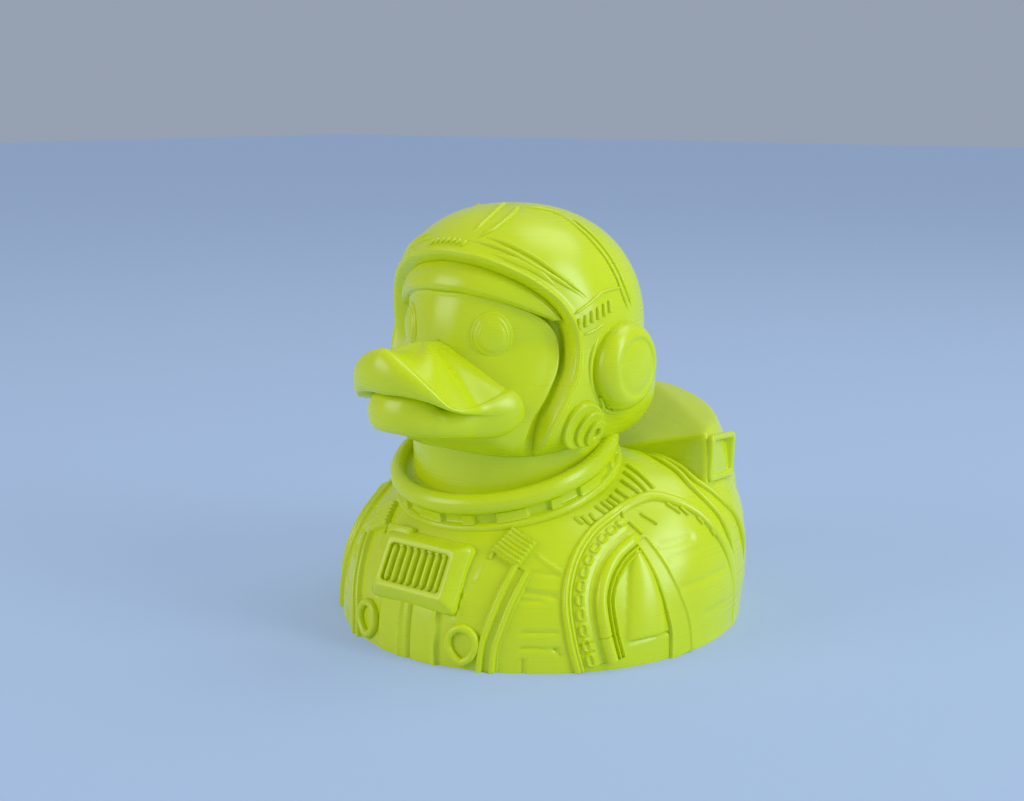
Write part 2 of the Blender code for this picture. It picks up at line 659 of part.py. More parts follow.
def join_solids(target, meshes, operation):
    """Applies one exact Boolean of all meshes to the target and clears the tools away."""
    tools = bpy.data.collections.new("tools")
    bpy.context.scene.collection.children.link(tools)
    for number, mesh in enumerate(meshes):
        item = make_object(f"tool_{number}", mesh)
        bpy.context.collection.objects.unlink(item)
        tools.objects.link(item)
        item.hide_render = True
        item.display_type = 'WIRE'
    modifier = target.modifiers.new(operation.lower(), 'BOOLEAN')
    modifier.operand_type = 'COLLECTION'
    modifier.collection = tools
    modifier.operation = operation
    modifier.solver = 'EXACT'
    bpy.context.view_layer.update()
    shape = bpy.data.meshes.new_from_object(target.evaluated_get(bpy.context.evaluated_depsgraph_get()))
    target.modifiers.clear()
    target.data = shape
    for item in list(tools.objects):
        bpy.data.objects.remove(item)
    bpy.data.collections.remove(tools)


def make_duck():
    duck = make_object("duck", body_mesh())
    box, pocket, ribs = box_pieces()
    ports = [port_pieces(side) for side in (LEFT, RIGHT)]
    main = [collar_mesh(), neck_mesh(), head_mesh(), visor_mesh(), upper_bill_mesh(), lower_bill_mesh(), pack_mesh(), box]
    main += [outer for outer, hollow in ports] + [cheek_mesh(side) for side in (LEFT, RIGHT)]
    join_solids(duck, main, 'UNION')
    join_solids(duck, [pocket] + [hollow for outer, hollow in ports], 'DIFFERENCE')
    details = collar_blocks() + ribs + helmet_pieces()
    for side in (LEFT, RIGHT):
        details += [eye_mesh(side), ear_mesh(side), hub_mesh(side), buckle_mesh(side), pack_strap(side)]
        details += sleeve_pieces(side) + strap_pieces(side) + ladder_pieces(side)
    join_solids(duck, details, 'UNION')
    return duck


def yellow_plastic():
    """Glossy lemon yellow print."""
    material = bpy.data.materials.new("yellow_plastic")
    material.use_nodes = True
    shader = material.node_tree.nodes["Principled BSDF"]
    shader.inputs["Base Color"].default_value = (0.75, 0.80, 0.02, 1.0)
    shader.inputs["Roughness"].default_value = 0.3
    shader.inputs["Metallic"].default_value = 0.0
    return material


def main():
    for item in list(bpy.data.objects):
        bpy.data.objects.remove(item)
    duck = make_duck()
    duck.data.materials.clear()
    duck.data.materials.append(yellow_plastic())
    duck.data.shade_smooth()
    duck.data.set_sharp_from_angle(angle=math.radians(35.0))


main()
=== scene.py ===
"""Yellow printed desk duck in a flying suit, an open helmet and a back pack.

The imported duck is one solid. Here its surface is rebuilt from fine surfaces, each a function of two
parameters, that stand on two carrier forms: the body, addressed by an azimuth from the breast and a
tilt from the base, and the head, addressed by a turn from the crown towards the left ear and an
opening angle from the brow. Lengths are in metres and angles in degrees. The duck looks along -Y,
+Z is up and its left side is at +X.
"""
import math

import bpy
import numpy as np
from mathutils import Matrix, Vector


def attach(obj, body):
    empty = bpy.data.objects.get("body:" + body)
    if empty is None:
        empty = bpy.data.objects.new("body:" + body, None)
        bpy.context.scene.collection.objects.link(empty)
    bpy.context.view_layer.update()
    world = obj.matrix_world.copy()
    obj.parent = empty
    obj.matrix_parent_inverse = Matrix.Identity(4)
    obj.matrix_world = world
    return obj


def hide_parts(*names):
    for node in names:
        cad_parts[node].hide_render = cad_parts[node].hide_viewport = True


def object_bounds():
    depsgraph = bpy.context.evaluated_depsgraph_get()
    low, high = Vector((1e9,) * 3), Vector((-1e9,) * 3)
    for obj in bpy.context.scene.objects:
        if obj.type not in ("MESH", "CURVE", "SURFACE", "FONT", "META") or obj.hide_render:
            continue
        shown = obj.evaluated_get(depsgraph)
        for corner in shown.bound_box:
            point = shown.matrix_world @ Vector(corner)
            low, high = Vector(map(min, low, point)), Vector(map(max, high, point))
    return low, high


bl_info = {
    "name": "Printed Duck",
    "version": (1, 0, 0),
    "blender": (4, 5, 0),
    "location": "3D View > Sidebar > Duck",
    "description": "Builds the fine surfaces of a printed duck in a flying suit, its plastic and its stage",
    "category": "Add Mesh",
}

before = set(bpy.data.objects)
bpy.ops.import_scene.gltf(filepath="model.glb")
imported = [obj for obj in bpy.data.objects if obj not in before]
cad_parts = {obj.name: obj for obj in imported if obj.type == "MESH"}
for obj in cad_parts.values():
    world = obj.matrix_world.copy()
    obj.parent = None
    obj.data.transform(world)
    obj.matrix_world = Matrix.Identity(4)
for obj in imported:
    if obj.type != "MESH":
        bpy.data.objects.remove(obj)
CAD_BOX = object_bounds()

MM = 0.001
NODE = "duck"
LEFT, RIGHT = 1.0, -1.0
SIDES = (LEFT, RIGHT)


def length(name, description, millimetres):
    return bpy.props.FloatProperty(name=name, description=description, default=millimetres * MM, min=0.0,
                                   precision=4, unit='LENGTH')


def number(name, description, default):
    return bpy.props.FloatProperty(name=name, description=description, default=default, min=0.0)


def colour(name, description, default):
    return bpy.props.FloatVectorProperty(name=name, description=description, default=default, size=3,
                                         subtype='COLOR', min=0.0, max=1.0)


class DuckBodySizes(bpy.types.PropertyGroup):
    """The suited body and the collar."""
    half_width: length("Half width", "From the upright axis to the side of the base", 41.7)
    front: length("Front reach", "From the upright axis to the breast", 42.8)
    back: length("Back reach", "From the upright axis to the tail", 44.0)
    height: length("Height", "From the base to the top of the shoulders", 35.0)
    swell: length("Rump swell", "How far the rump stands out over the base", 1.0)
    breast_fullness: number("Breast fullness", "Exponent of the breast's upright outline", 2.3)
    rump_fullness: number("Rump fullness", "Exponent of the rump's upright outline", 4.6)
    collar_radius: length("Collar radius", "Radius of the collar's two beads", 23.3)
    collar_forward: length("Collar forward", "How far the collar's foot lies before the upright axis", 11.1)
    collar_drop: length("Collar drop", "How far the collar's foot lies below the shoulders", 5.0)
    collar_lean: number("Collar lean", "Forward lean of the collar's axis, in degrees", 17.0)
    neck_radius: length("Neck radius", "Radius of the round neck", 20.3)


class DuckHeadSizes(bpy.types.PropertyGroup):
    """Head, helmet, visor, bill, eyes and ear cups."""
    half_width: length("Half width", "Half the head's width", 25.4)
    half_length: length("Half length", "Half the head's length", 26.6)
    half_height: length("Half height", "Half the head's height", 24.6)
    forward: length("Forward", "How far the head's middle lies before the upright axis", 10.0)
    height: length("Height", "Height of the head's middle over the base", 61.0)
    fullness: number("Fullness", "Exponent of the skull's outline", 2.2)
    jaw_fullness: number("Jaw fullness", "Exponent of the outline under the jaw", 3.8)
    taper: number("Face taper", "How much the head narrows towards the face", 0.09)
    face_recess: length("Face recess", "How far the face lies inside the helmet's outline", 3.6)
    groove_depth: length("Groove depth", "Depth of the groove round the face", 5.0)
    visor_recess: length("Visor recess", "How far the raised visor lies inside the helmet's outline", 2.3)
    bill_half_width: length("Bill half width", "Half the width of the upper bill", 13.5)
    bill_reach: length("Bill reach", "From the bill's middle to its tip", 13.0)
    bill_lean: number("Bill lean", "Lean of the bill's front towards the duck's left, in degrees", 6.0)
    bill_root: length("Bill root", "From the bill's middle back into the face", 24.0)
    ear_radius: length("Ear cup radius", "Radius of the ear cups", 9.3)
    ear_depth: length("Ear cup depth", "How far the ear cups stand out of their rings", 4.9)
    eye_half_width: length("Eye half width", "Half the width of an eye", 3.8)
    eye_half_height: length("Eye half height", "Half the height of an eye", 4.5)


class DuckKitSizes(bpy.types.PropertyGroup):
    """Breast pack, buckles, straps, sleeve bands and back pack."""
    box_width: length("Box width", "Width of the breast pack's face", 17.0)
    box_height: length("Box height", "Height of the breast pack's face", 9.8)
    box_rise: length("Box rise", "How far the breast pack stands out", 2.2)
    box_ribs: bpy.props.IntProperty(name="Box ribs", description="Ribs in the breast pack's grille",
                                    default=8, min=1)
    buckle_radius: length("Buckle radius", "Radius of the teardrop buckles", 2.9)
    buckle_wire: length("Buckle wire", "Thickness of the buckles' wire", 1.6)
    pack_half_width: length("Pack half width", "From the upright axis to the foot of the pack's side", 35.9)
    pack_front: length("Pack front", "From the upright axis back to the foot of the pack's front", 7.5)
    pack_crest: length("Pack crest", "Rise of the pack's crest over the shoulders", 8.3)
    pack_corner: length("Pack corner", "Rise of the pack's upper corners over the shoulders", 5.2)
    pack_side_turn: number("Pack side azimuth", "Azimuth that the pack's sides face, in degrees", 100.4)
    pack_edge: number("Pack edge", "Sharpness of the pack's ridges", 60.0)
    port_width: length("Port width", "Width of a nozzle's frame", 13.6)
    port_height: length("Port height", "Height of a nozzle's frame", 9.5)
    port_wall: length("Port wall", "Thickness of a nozzle's frame", 1.3)
    port_slant: number("Port slant", "Fall of a nozzle's frame to the rear, in degrees", 7.0)


class DuckFinish(bpy.types.PropertyGroup):
    """Plastic and stage."""
    plastic: colour("Plastic", "Colour of the printed plastic", (0.64, 0.73, 0.006))
    layer_height: length("Layer height", "Height of one printed layer", 0.28)
    floor: colour("Floor", "Colour of the floor and the backdrop under the lamps", (0.60, 0.73, 0.92))
    backdrop: colour("Backdrop", "Colour that the floor is evened out to", (0.30, 0.41, 0.62))
    evenness: number("Evenness", "Share of the backdrop's colour in what the camera sees of the floor", 0.6)


def body_sizes():
    return bpy.context.scene.duck_body


def head_sizes():
    return bpy.context.scene.duck_head


def kit_sizes():
    return bpy.context.scene.duck_kit


def smooth_step(low, high, value):
    """Rises from 0 at low to 1 at high: share squared times three minus twice the share."""
    share = np.clip((value - low) / (high - low), 0.0, 1.0)
    return share * share * (3.0 - 2.0 * share)


def smooth_curve(stations, values, at):
    """Cubic through the stations, with each slope taken from its two neighbours."""
    stations, values = np.asarray(stations, float), np.asarray(values, float)
    slopes = np.gradient(values, stations)
    at = np.clip(at, stations[0], stations[-1])
    index = np.clip(np.searchsorted(stations, at) - 1, 0, len(stations) - 2)
    span = stations[index + 1] - stations[index]
    share = (at - stations[index]) / span
    rest = 1.0 - share
    start = rest ** 2 * ((1 + 2 * share) * values[index] + share * slopes[index] * span)
    end = share ** 2 * ((1 + 2 * rest) * values[index + 1] - rest * slopes[index + 1] * span)
    return start + end


def ridge(distance, width):
    """Round-backed ridge: a raised cosine that is 1 on its line and 0 at half its width."""
    return 0.5 + 0.5 * np.cos(np.pi * np.clip(distance / (width / 2), -1.0, 1.0))


def roll(distance, width):
    """Half-round bead: the upper half of a circle across its width."""
    return np.sqrt(np.clip(1.0 - (distance / (width / 2)) ** 2, 0.0, 1.0))


def unit(vectors):
    return vectors / np.maximum(np.linalg.norm(vectors, axis=-1, keepdims=True), 1e-12)


def blend(first, second, share):
    return first + (second - first) * share


class Form:
    """A carrier that maps two angles to points of its surface, and any point back to the angles."""

    def normal(self, first, second):
        """Cross product of the two central differences, turned away from the form's middle."""
        step = 0.05
        along = self.at(first + step, second) - self.at(first - step, second)
        up = self.at(first, second + step) - self.at(first, second - step)
        normal = unit(np.cross(along, up))
        outward = self.at(first, second) - self.centre
        return normal * np.sign(np.sum(normal * outward, axis=-1, keepdims=True))

    def off(self, first, second, rise):
        """Point at a height over the surface, along its normal."""
        return self.at(first, second) + self.normal(first, second) * np.asarray(rise)[..., None]


class BodyForm(Form):
    """Rounded body over an oval base, whose upright outline is a superellipse, fuller at the rump."""

    def __init__(self):
        self.size = body_sizes()
        self.centre = np.array([0.0, 0.0, self.size.height * 0.3])

    def plan(self, azimuth):
        """Reach of the base oval, exponent and share of rump at an azimuth."""
        size = self.size
        rump = smooth_step(60.0, 120.0, np.abs(azimuth))
        angle = np.radians(azimuth)
        reach = 1.0 / np.hypot(np.sin(angle) / size.half_width,
                               np.cos(angle) / blend(size.front, size.back, rump))
        return reach, blend(size.breast_fullness, size.rump_fullness, rump), rump

    def radius(self, azimuth, share):
        reach, fullness, rump = self.plan(azimuth)
        return reach + self.size.swell * rump * smooth_step(0.0, 0.3, share), fullness

    def at(self, azimuth, tilt):
        """The tilt is the angle from the base's edge (0) to the top (90), seen in the upright outline."""
        azimuth, tilt = np.broadcast_arrays(np.asarray(azimuth, float), np.clip(tilt, 0.0, 89.99))
        fullness = self.plan(azimuth)[1]
        out, share = np.cos(np.radians(tilt)), np.sin(np.radians(tilt))
        reach = (out ** fullness + share ** fullness) ** (-1.0 / fullness)
        out, share = out * reach, share * reach
        radius = self.radius(azimuth, share)[0] * out
        angle = np.radians(azimuth)
        return np.stack([radius * np.sin(angle), -radius * np.cos(angle), self.size.height * share], -1)

    def tilt(self, azimuth, height):
        """Tilt at which the surface reaches a height."""
        share = np.clip(np.asarray(height) / self.size.height, 0.0, 0.99999)
        fullness = self.plan(np.asarray(azimuth, float))[1]
        return np.degrees(np.arctan2(share, (1.0 - share ** fullness) ** (1.0 / fullness)))

    def project(self, points):
        azimuth = np.degrees(np.arctan2(points[..., 0], -points[..., 1]))
        share = points[..., 2] / self.size.height
        out = np.hypot(points[..., 0], points[..., 1]) / self.radius(azimuth, share)[0]
        return azimuth, np.degrees(np.arctan2(np.maximum(share, 0.0), out))

    def stations(self, pairs, side):
        """(azimuth, height in millimetres) pairs as azimuths and tilts on one side."""
        azimuth, height = np.asarray(pairs, float).T
        return azimuth * side, self.tilt(azimuth, height * MM)


class HeadForm(Form):
    """Egg of three half axes and a superellipse's exponent, fuller under the jaw, narrower at the face."""

    def __init__(self):
        self.size = head_sizes()
        self.centre = np.array([0.0, -self.size.forward, self.size.height])

    def reach(self, way):
        size = self.size
        fullness = blend(size.fullness, size.jaw_fullness, smooth_step(0.0, 0.5, -way[..., 2]))
        reach = ((np.abs(way[..., 0]) / size.half_width) ** fullness
                 + (np.abs(way[..., 1]) / size.half_length) ** fullness
                 + (np.abs(way[..., 2]) / size.half_height) ** fullness) ** (-1.0 / fullness)
        front = np.maximum(0.0, -way[..., 1])
        return reach * (1.0 - 4.0 * size.taper * (way[..., 0] * front) ** 2)

    def at(self, turn, opening, rise=0.0):
        """The rise here is along the ray from the head's middle."""
        turn, opening = np.radians(turn), np.radians(opening)
        turn, opening = np.broadcast_arrays(turn, opening)
        way = np.stack([np.sin(opening) * np.sin(turn), -np.cos(opening), np.sin(opening) * np.cos(turn)], -1)
        return self.centre + way * (self.reach(way) + rise)[..., None]

    def project(self, points):
        way = unit(points - self.centre)
        turn = np.degrees(np.arctan2(way[..., 0], way[..., 2]))
        return turn, np.degrees(np.arccos(np.clip(-way[..., 1], -1, 1)))

    def stations(self, pairs, side):
        turn, opening = np.asarray(pairs, float).T
        return turn * side, opening


class PlateForm(Form):
    """Flat frame: the two coordinates are lengths across and up a plane with a given normal."""

    def __init__(self, place, normal, up=(0.0, 0.0, 1.0)):
        self.place, self.way = np.asarray(place, float), unit(np.asarray(normal, float))
        up = np.asarray(up, float)
        self.up = unit(up - self.way * np.dot(up, self.way))
        self.across = np.cross(self.up, self.way)

    def point(self, across, up, rise):
        across, up, rise = np.broadcast_arrays(across, up, rise)
        return (self.place + self.across * across[..., None] + self.up * up[..., None]
                + self.way * rise[..., None])


def path(form, pairs, side=LEFT, spacing=0.25 * MM):
    """Evenly spaced angles along a smooth curve through the stations, laid back on the form."""
    points = form.at(*form.stations(pairs, side))
    chord = np.concatenate([[0.0], np.cumsum(np.linalg.norm(np.diff(points, axis=0), axis=1))])
    fine = np.linspace(0.0, chord[-1], 24 * len(points))
    curve = np.stack([smooth_curve(chord, points[:, axis], fine) for axis in range(3)], -1)
    curve = form.at(*form.project(curve))
    run = np.concatenate([[0.0], np.cumsum(np.linalg.norm(np.diff(curve, axis=0), axis=1))])
    even = np.linspace(0.0, run[-1], max(6, int(run[-1] / spacing)))
    return form.project(np.stack([np.interp(even, run, curve[:, axis]) for axis in range(3)], -1)), even


def lay(form, track, offsets, widths=1.0):
    """Columns of a strip: each is the one before, stepped sideways along the form."""
    columns = {}
    start = int(np.argmin(np.abs(offsets)))
    for order in (range(start, len(offsets)), range(start, -1, -1)):
        first, second = track
        before = 0.0
        for column in order:
            points = form.at(first, second)
            along = unit(np.gradient(points, axis=0))
            sideways = np.cross(along, form.normal(first, second))
            step = (offsets[column] - before) * widths
            first, second = form.project(points + sideways * np.broadcast_to(step, first.shape)[:, None])
            before = offsets[column]
            columns[column] = (first, second)
    pairs = [columns[column] for column in range(len(offsets))]
    return np.stack([pair[0] for pair in pairs], 1), np.stack([pair[1] for pair in pairs], 1)


def strip(form, track, offsets, rise, widths=1.0, sink=0.9 * MM):
    """Closed tube along a track: a top of given rises, and a foot sunk below the form."""
    first, second = lay(form, track, offsets, widths)
    top = form.off(first, second, np.broadcast_to(rise, first.shape))
    foot = form.off(first[:, [-1, 0]], second[:, [-1, 0]], np.full((len(first), 2), -sink))
    return np.concatenate([top, foot], axis=1)


def bead(form, pairs, side, width, height, spacing=0.25 * MM, columns=9, fade=0.0):
    """Half-round ridge along stations, with rounded ends, or with ends that fade out over a length."""
    track, run = path(form, pairs, side, spacing)
    angles = np.linspace(-90.0, 90.0, columns)
    offsets = width / 2 * np.sin(np.radians(angles))
    end = np.minimum(run, run[-1] - run)
    taper = roll(np.maximum(width / 2 - end, 0.0), width) * 0.98 + 0.02
    if fade:
        taper = taper * (0.15 + 0.85 * smooth_step(0.0, fade, end))
    rise = height * np.cos(np.radians(angles))[None, :] * taper[:, None] - 0.03 * MM
    return strip(form, track, offsets, rise, widths=taper)


def closed_mesh(name, grids):
    """One mesh from grids of points, each closed round its columns and capped at its two end rows.

    A grid whose last row repeats its first is a ring, which is joined there and has no caps. The faces
    of each grid are turned outwards by the sign of the volume they enclose.
    """
    points, quads, caps, base = [], [], [], 0
    for grid in grids:
        ring = np.allclose(grid[0], grid[-1], atol=1e-9)
        grid = grid[:-1] if ring else grid
        rows, columns = grid.shape[:2]
        index = base + np.arange(rows * columns).reshape(rows, columns)
        index = np.concatenate([index, index[:1]]) if ring else index
        after = np.roll(index, -1, axis=1)
        low, high = base + rows * columns, base + rows * columns + 1
        ends = np.zeros((0, 3)) if ring else np.stack([grid[0].mean(0), grid[-1].mean(0)])
        part = np.concatenate([grid.reshape(-1, 3), ends])
        quad = np.stack([index[:-1], after[:-1], after[1:], index[1:]], -1).reshape(-1, 4)
        cap = np.concatenate([np.stack([after[0], index[0], np.full(columns, low)], -1),
                              np.stack([index[-1], after[-1], np.full(columns, high)], -1)])
        cap = cap[:0] if ring else cap
        corners = part[np.concatenate([quad[:, [0, 1, 2]], quad[:, [0, 2, 3]], cap]) - base] - part[0]
        volume = np.sum(corners[:, 0] * np.cross(corners[:, 1], corners[:, 2]))
        if volume < 0:
            quad, cap = quad[:, ::-1], cap[:, ::-1]
        points.append(part)
        quads.append(quad)
        caps.append(cap)
        base += len(part)
    points, quads, caps = np.concatenate(points), np.concatenate(quads), np.concatenate(caps)
    mesh = bpy.data.meshes.new(name)
    mesh.vertices.add(len(points))
    mesh.vertices.foreach_set("co", points.astype(np.float32).ravel())
    mesh.loops.add(quads.size + caps.size)
    mesh.loops.foreach_set("vertex_index", np.concatenate([quads.ravel(), caps.ravel()]).astype(np.int32))
    sizes = np.concatenate([np.full(len(quads), 4), np.full(len(caps), 3)])
    mesh.polygons.add(len(sizes))
    mesh.polygons.foreach_set("loop_start", (np.cumsum(sizes) - sizes).astype(np.int32))
    mesh.polygons.foreach_set("loop_total", sizes.astype(np.int32))
    mesh.update(calc_edges=True)
    mesh.validate()
    mesh.shade_smooth()
    return mesh


def place_piece(name, grids, sharp=50.0):
    """Adds the piece, gives it the plastic, and hangs it on the duck's body in place of the plain solid."""
    mesh = closed_mesh(name, grids)
    mesh.set_sharp_from_angle(angle=math.radians(sharp))
    piece = bpy.data.objects.new(name, mesh)
    bpy.context.collection.objects.link(piece)
    mesh.materials.append(bpy.data.materials.get("printed_plastic") or printed_plastic())
    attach(piece, "root")
    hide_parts(NODE)
    return piece


class Wire:
    """A node socket whose operators add Math nodes, so that shader maths reads as an expression."""

    def __init__(self, tree, socket):
        self.tree, self.socket = tree, socket

    def node(self, kind, settings=None, **inputs):
        """Adds a node with its settings first and then its sockets' values or links."""
        node = self.tree.nodes.new(kind)
        for key, value in (settings or {}).items():
            setattr(node, key, value)
        for key, value in inputs.items():
            target = node.inputs[int(key[1:])] if key[1:].isdigit() else node.inputs[key.replace("_", " ")]
            if isinstance(value, Wire):
                self.tree.links.new(value.socket, target)
            else:
                target.default_value = value
        return node

    def maths(self, operation, *values):
        node = self.node('ShaderNodeMath', {"operation": operation},
                         **{f"i{n}": v for n, v in enumerate(values)})
        return Wire(self.tree, node.outputs[0])

    def __add__(self, other):
        return self.maths('ADD', self, other)

    def __sub__(self, other):
        return self.maths('SUBTRACT', self, other)

    def __rsub__(self, other):
        return self.maths('SUBTRACT', other, self)

    def __mul__(self, other):
        return self.maths('MULTIPLY', self, other)

    __radd__ = __add__
    __rmul__ = __mul__


def printed_plastic():
    """Silky yellow plastic: fine level layer lines, slight unevenness of the layers and of the gloss."""
    finish = bpy.context.scene.duck_finish
    material = bpy.data.materials.new("printed_plastic")
    material.use_nodes = True
    tree = material.node_tree
    shader = tree.nodes["Principled BSDF"]
    start = Wire(tree, None)
    place = Wire(tree, start.node('ShaderNodeTexCoord').outputs["Object"])
    axes = start.node('ShaderNodeSeparateXYZ', Vector=place)
    height = Wire(tree, axes.outputs["Z"])
    broad = Wire(tree, start.node('ShaderNodeTexNoise', Vector=place, Scale=90.0, Detail=2.0).outputs["Fac"])
    flat = start.node('ShaderNodeMapping', Vector=place, Scale=(60.0, 60.0, 0.9 / finish.layer_height))
    bands = Wire(tree, start.node('ShaderNodeTexNoise', Vector=Wire(tree, flat.outputs[0]), Scale=1.0,
                                  Detail=1.0).outputs["Fac"])
    phase = height * (2.0 * math.pi / finish.layer_height)
    lines = phase.maths('SINE', phase) * bands * 0.5 + bands * 0.6
    bump = start.node('ShaderNodeBump', Strength=0.10, Distance=0.05 * MM, Height=lines)
    tone = start.node('ShaderNodeMix', {"data_type": 'RGBA'}, i0=broad)
    plastic = tuple(finish.plastic)
    tone.inputs[6].default_value = (plastic[0] * 0.95, plastic[1] * 0.96, plastic[2], 1.0)
    tone.inputs[7].default_value = (min(1.0, plastic[0] * 1.05), min(1.0, plastic[1] * 1.04),
                                    plastic[2] * 1.2, 1.0)
    tree.links.new(tone.outputs[2], shader.inputs["Base Color"])
    tree.links.new((bands * 0.10 + 0.24).socket, shader.inputs["Roughness"])
    tree.links.new(bump.outputs[0], shader.inputs["Normal"])
    shader.inputs["Anisotropic"].default_value = 0.5
    shader.inputs["Anisotropic Rotation"].default_value = 0.25
    shader.inputs["IOR"].default_value = 1.48
    return material


def stage_paper():
    """Pale blue paper: what the camera and reflections see of it is evened out, and the shadow stays."""
    finish = bpy.context.scene.duck_finish
    material = bpy.data.materials.new("stage_paper")
    material.use_nodes = True
    tree = material.node_tree
    shader = tree.nodes["Principled BSDF"]
    shader.inputs["Base Color"].default_value = (*finish.floor, 1.0)
    shader.inputs["Roughness"].default_value = 0.9
    start = Wire(tree, None)
    rays = start.node('ShaderNodeLightPath')
    seen = [Wire(tree, rays.outputs[name]) for name in ("Is Camera Ray", "Is Glossy Ray",
                                                        "Is Transmission Ray")]
    share = (seen[0] + seen[1] + seen[2]) * finish.evenness
    glow = start.node('ShaderNodeEmission', Color=(*finish.backdrop, 1.0), Strength=1.0)
    mix = start.node('ShaderNodeMixShader', i0=share, i1=Wire(tree, shader.outputs[0]),
                     i2=Wire(tree, glow.outputs[0]))
    tree.links.new(mix.outputs[0], tree.nodes["Material Output"].inputs["Surface"])
    return material


def suit_relief(form, azimuth, tilt):
    """Rises of the suit's skin: sewn creases, the fly under the breast pack, the sleeve's panels.

    Each crease is a groove whose depth falls off as a bell over its distance from a line, measured
    on the map of arc length round the body against height.
    """
    height = form.at(azimuth, tilt)[..., 2]
    lap = form.size.half_width * np.radians(1.0)
    turn = np.abs(azimuth)

    def crease(start, end, depth, width):
        start, end = np.array(start), np.array(end)
        across, up = (turn - start[0]) * lap, height - start[1] * MM
        way = np.array([(end[0] - start[0]) * lap, (end[1] - start[1]) * MM])
        share = np.clip((across * way[0] + up * way[1]) / np.dot(way, way), 0.0, 1.0)
        gap = np.hypot(across - share * way[0], up - share * way[1])
        return -depth * MM * np.exp(-(gap / (width * MM)) ** 2)

    rise = np.zeros_like(height)
    for start, end, depth, width in (
            ((34, 18.5), (42, 18.0), 0.35, 0.4), ((31, 15.4), (41, 14.4), 0.5, 0.5),
            ((30.5, 13.8), (37, 13.6), 0.35, 0.4),
            ((32, 7.9), (41, 7.9), 0.35, 0.4), ((32, 4.9), (41.5, 4.7), 0.4, 0.35),
            ((40.5, 4.6), (42, 3.6), 0.5, 0.35),
            ((32.4, 2.6), (32.4, 0.2), 0.6, 0.35), ((75, 21.2), (86, 21.9), 0.22, 0.7),
            ((79, 13.2), (97, 14.0), 0.25, 0.7),
            ((77, 18.8), (88, 19.4), 0.15, 0.8), ((88, 6.6), (97, 6.9), 0.2, 0.6),
            ((61, 4.8), (73.5, 5.3), 0.45, 0.3),
            ((46, 5.0), (57, 5.4), 0.4, 0.3), ((47, 2.9), (53, 3.0), 0.4, 0.3),
            ((122, 19.0), (138, 16.0), 0.2, 1.0),
            ((118, 9.0), (134, 10.5), 0.2, 1.0), ((150, 8.0), (166, 7.5), 0.2, 1.0)):
        rise += crease(start, end, depth, width)
    rise -= crease((36, 21.0), (42.5, 18.4), 0.35, 0.3)
    rise -= crease((16.2, 14.2), (14.2, 8.8), 0.4, 0.3)
    rise -= crease((21, 20.0), (19, 17.0), 0.3, 0.3)
    low = smooth_step(12.5 * MM, 11.0 * MM, height)
    fly = smooth_step(-11.6, -10.6, azimuth) * smooth_step(9.9, 9.0, azimuth)
    rise += low * (fly * 0.45 + ridge(azimuth - 8.7, 1.9) * 0.5 + ridge(azimuth + 2.5, 1.8) * 0.4
                   - ridge(azimuth - 0.6, 1.6) * 0.8) * MM
    leaf_width = 12.5 * np.sqrt(np.clip(1.0 - (height / (21.0 * MM)) ** 2, 0.0, 1.0)) + 0.1
    leaf_middle = 65.5 + 1.5 * height / (20.0 * MM)
    leaf = roll((turn - leaf_middle) * lap, leaf_width * lap) * smooth_step(4.6 * MM, 5.6 * MM, height)
    rise += leaf * 0.75 * MM
    return rise


def suit_grid():
    """Skin over the whole body: rows run from the middle of the base to the top of the shoulders."""
    form = BodyForm()
    azimuth = np.linspace(-180.0, 180.0, 560, endpoint=False)[None, :]
    tilt = np.linspace(0.35, 84.0, 142)[:, None]
    azimuth, tilt = np.broadcast_arrays(azimuth, tilt)
    skin = form.off(azimuth, tilt, suit_relief(form, azimuth, tilt))
    edge = skin[:1] * np.array([1.0, 1.0, 0.0])
    base = [edge * share for share in (0.3, 0.65, 0.9, 0.985)]
    return np.concatenate(base + [edge, skin])


SLEEVE_BEAD = ((46, 0.1), (44, 6.1), (43, 15.1), (46, 20.7), (53, 24.8), (63, 27.0), (73, 28.9), (82, 29.8),
               (88, 28.8),
               (93, 26.6), (97, 22.5), (101, 17.5), (105, 11.0), (108, 4.5), (109, 0.1))


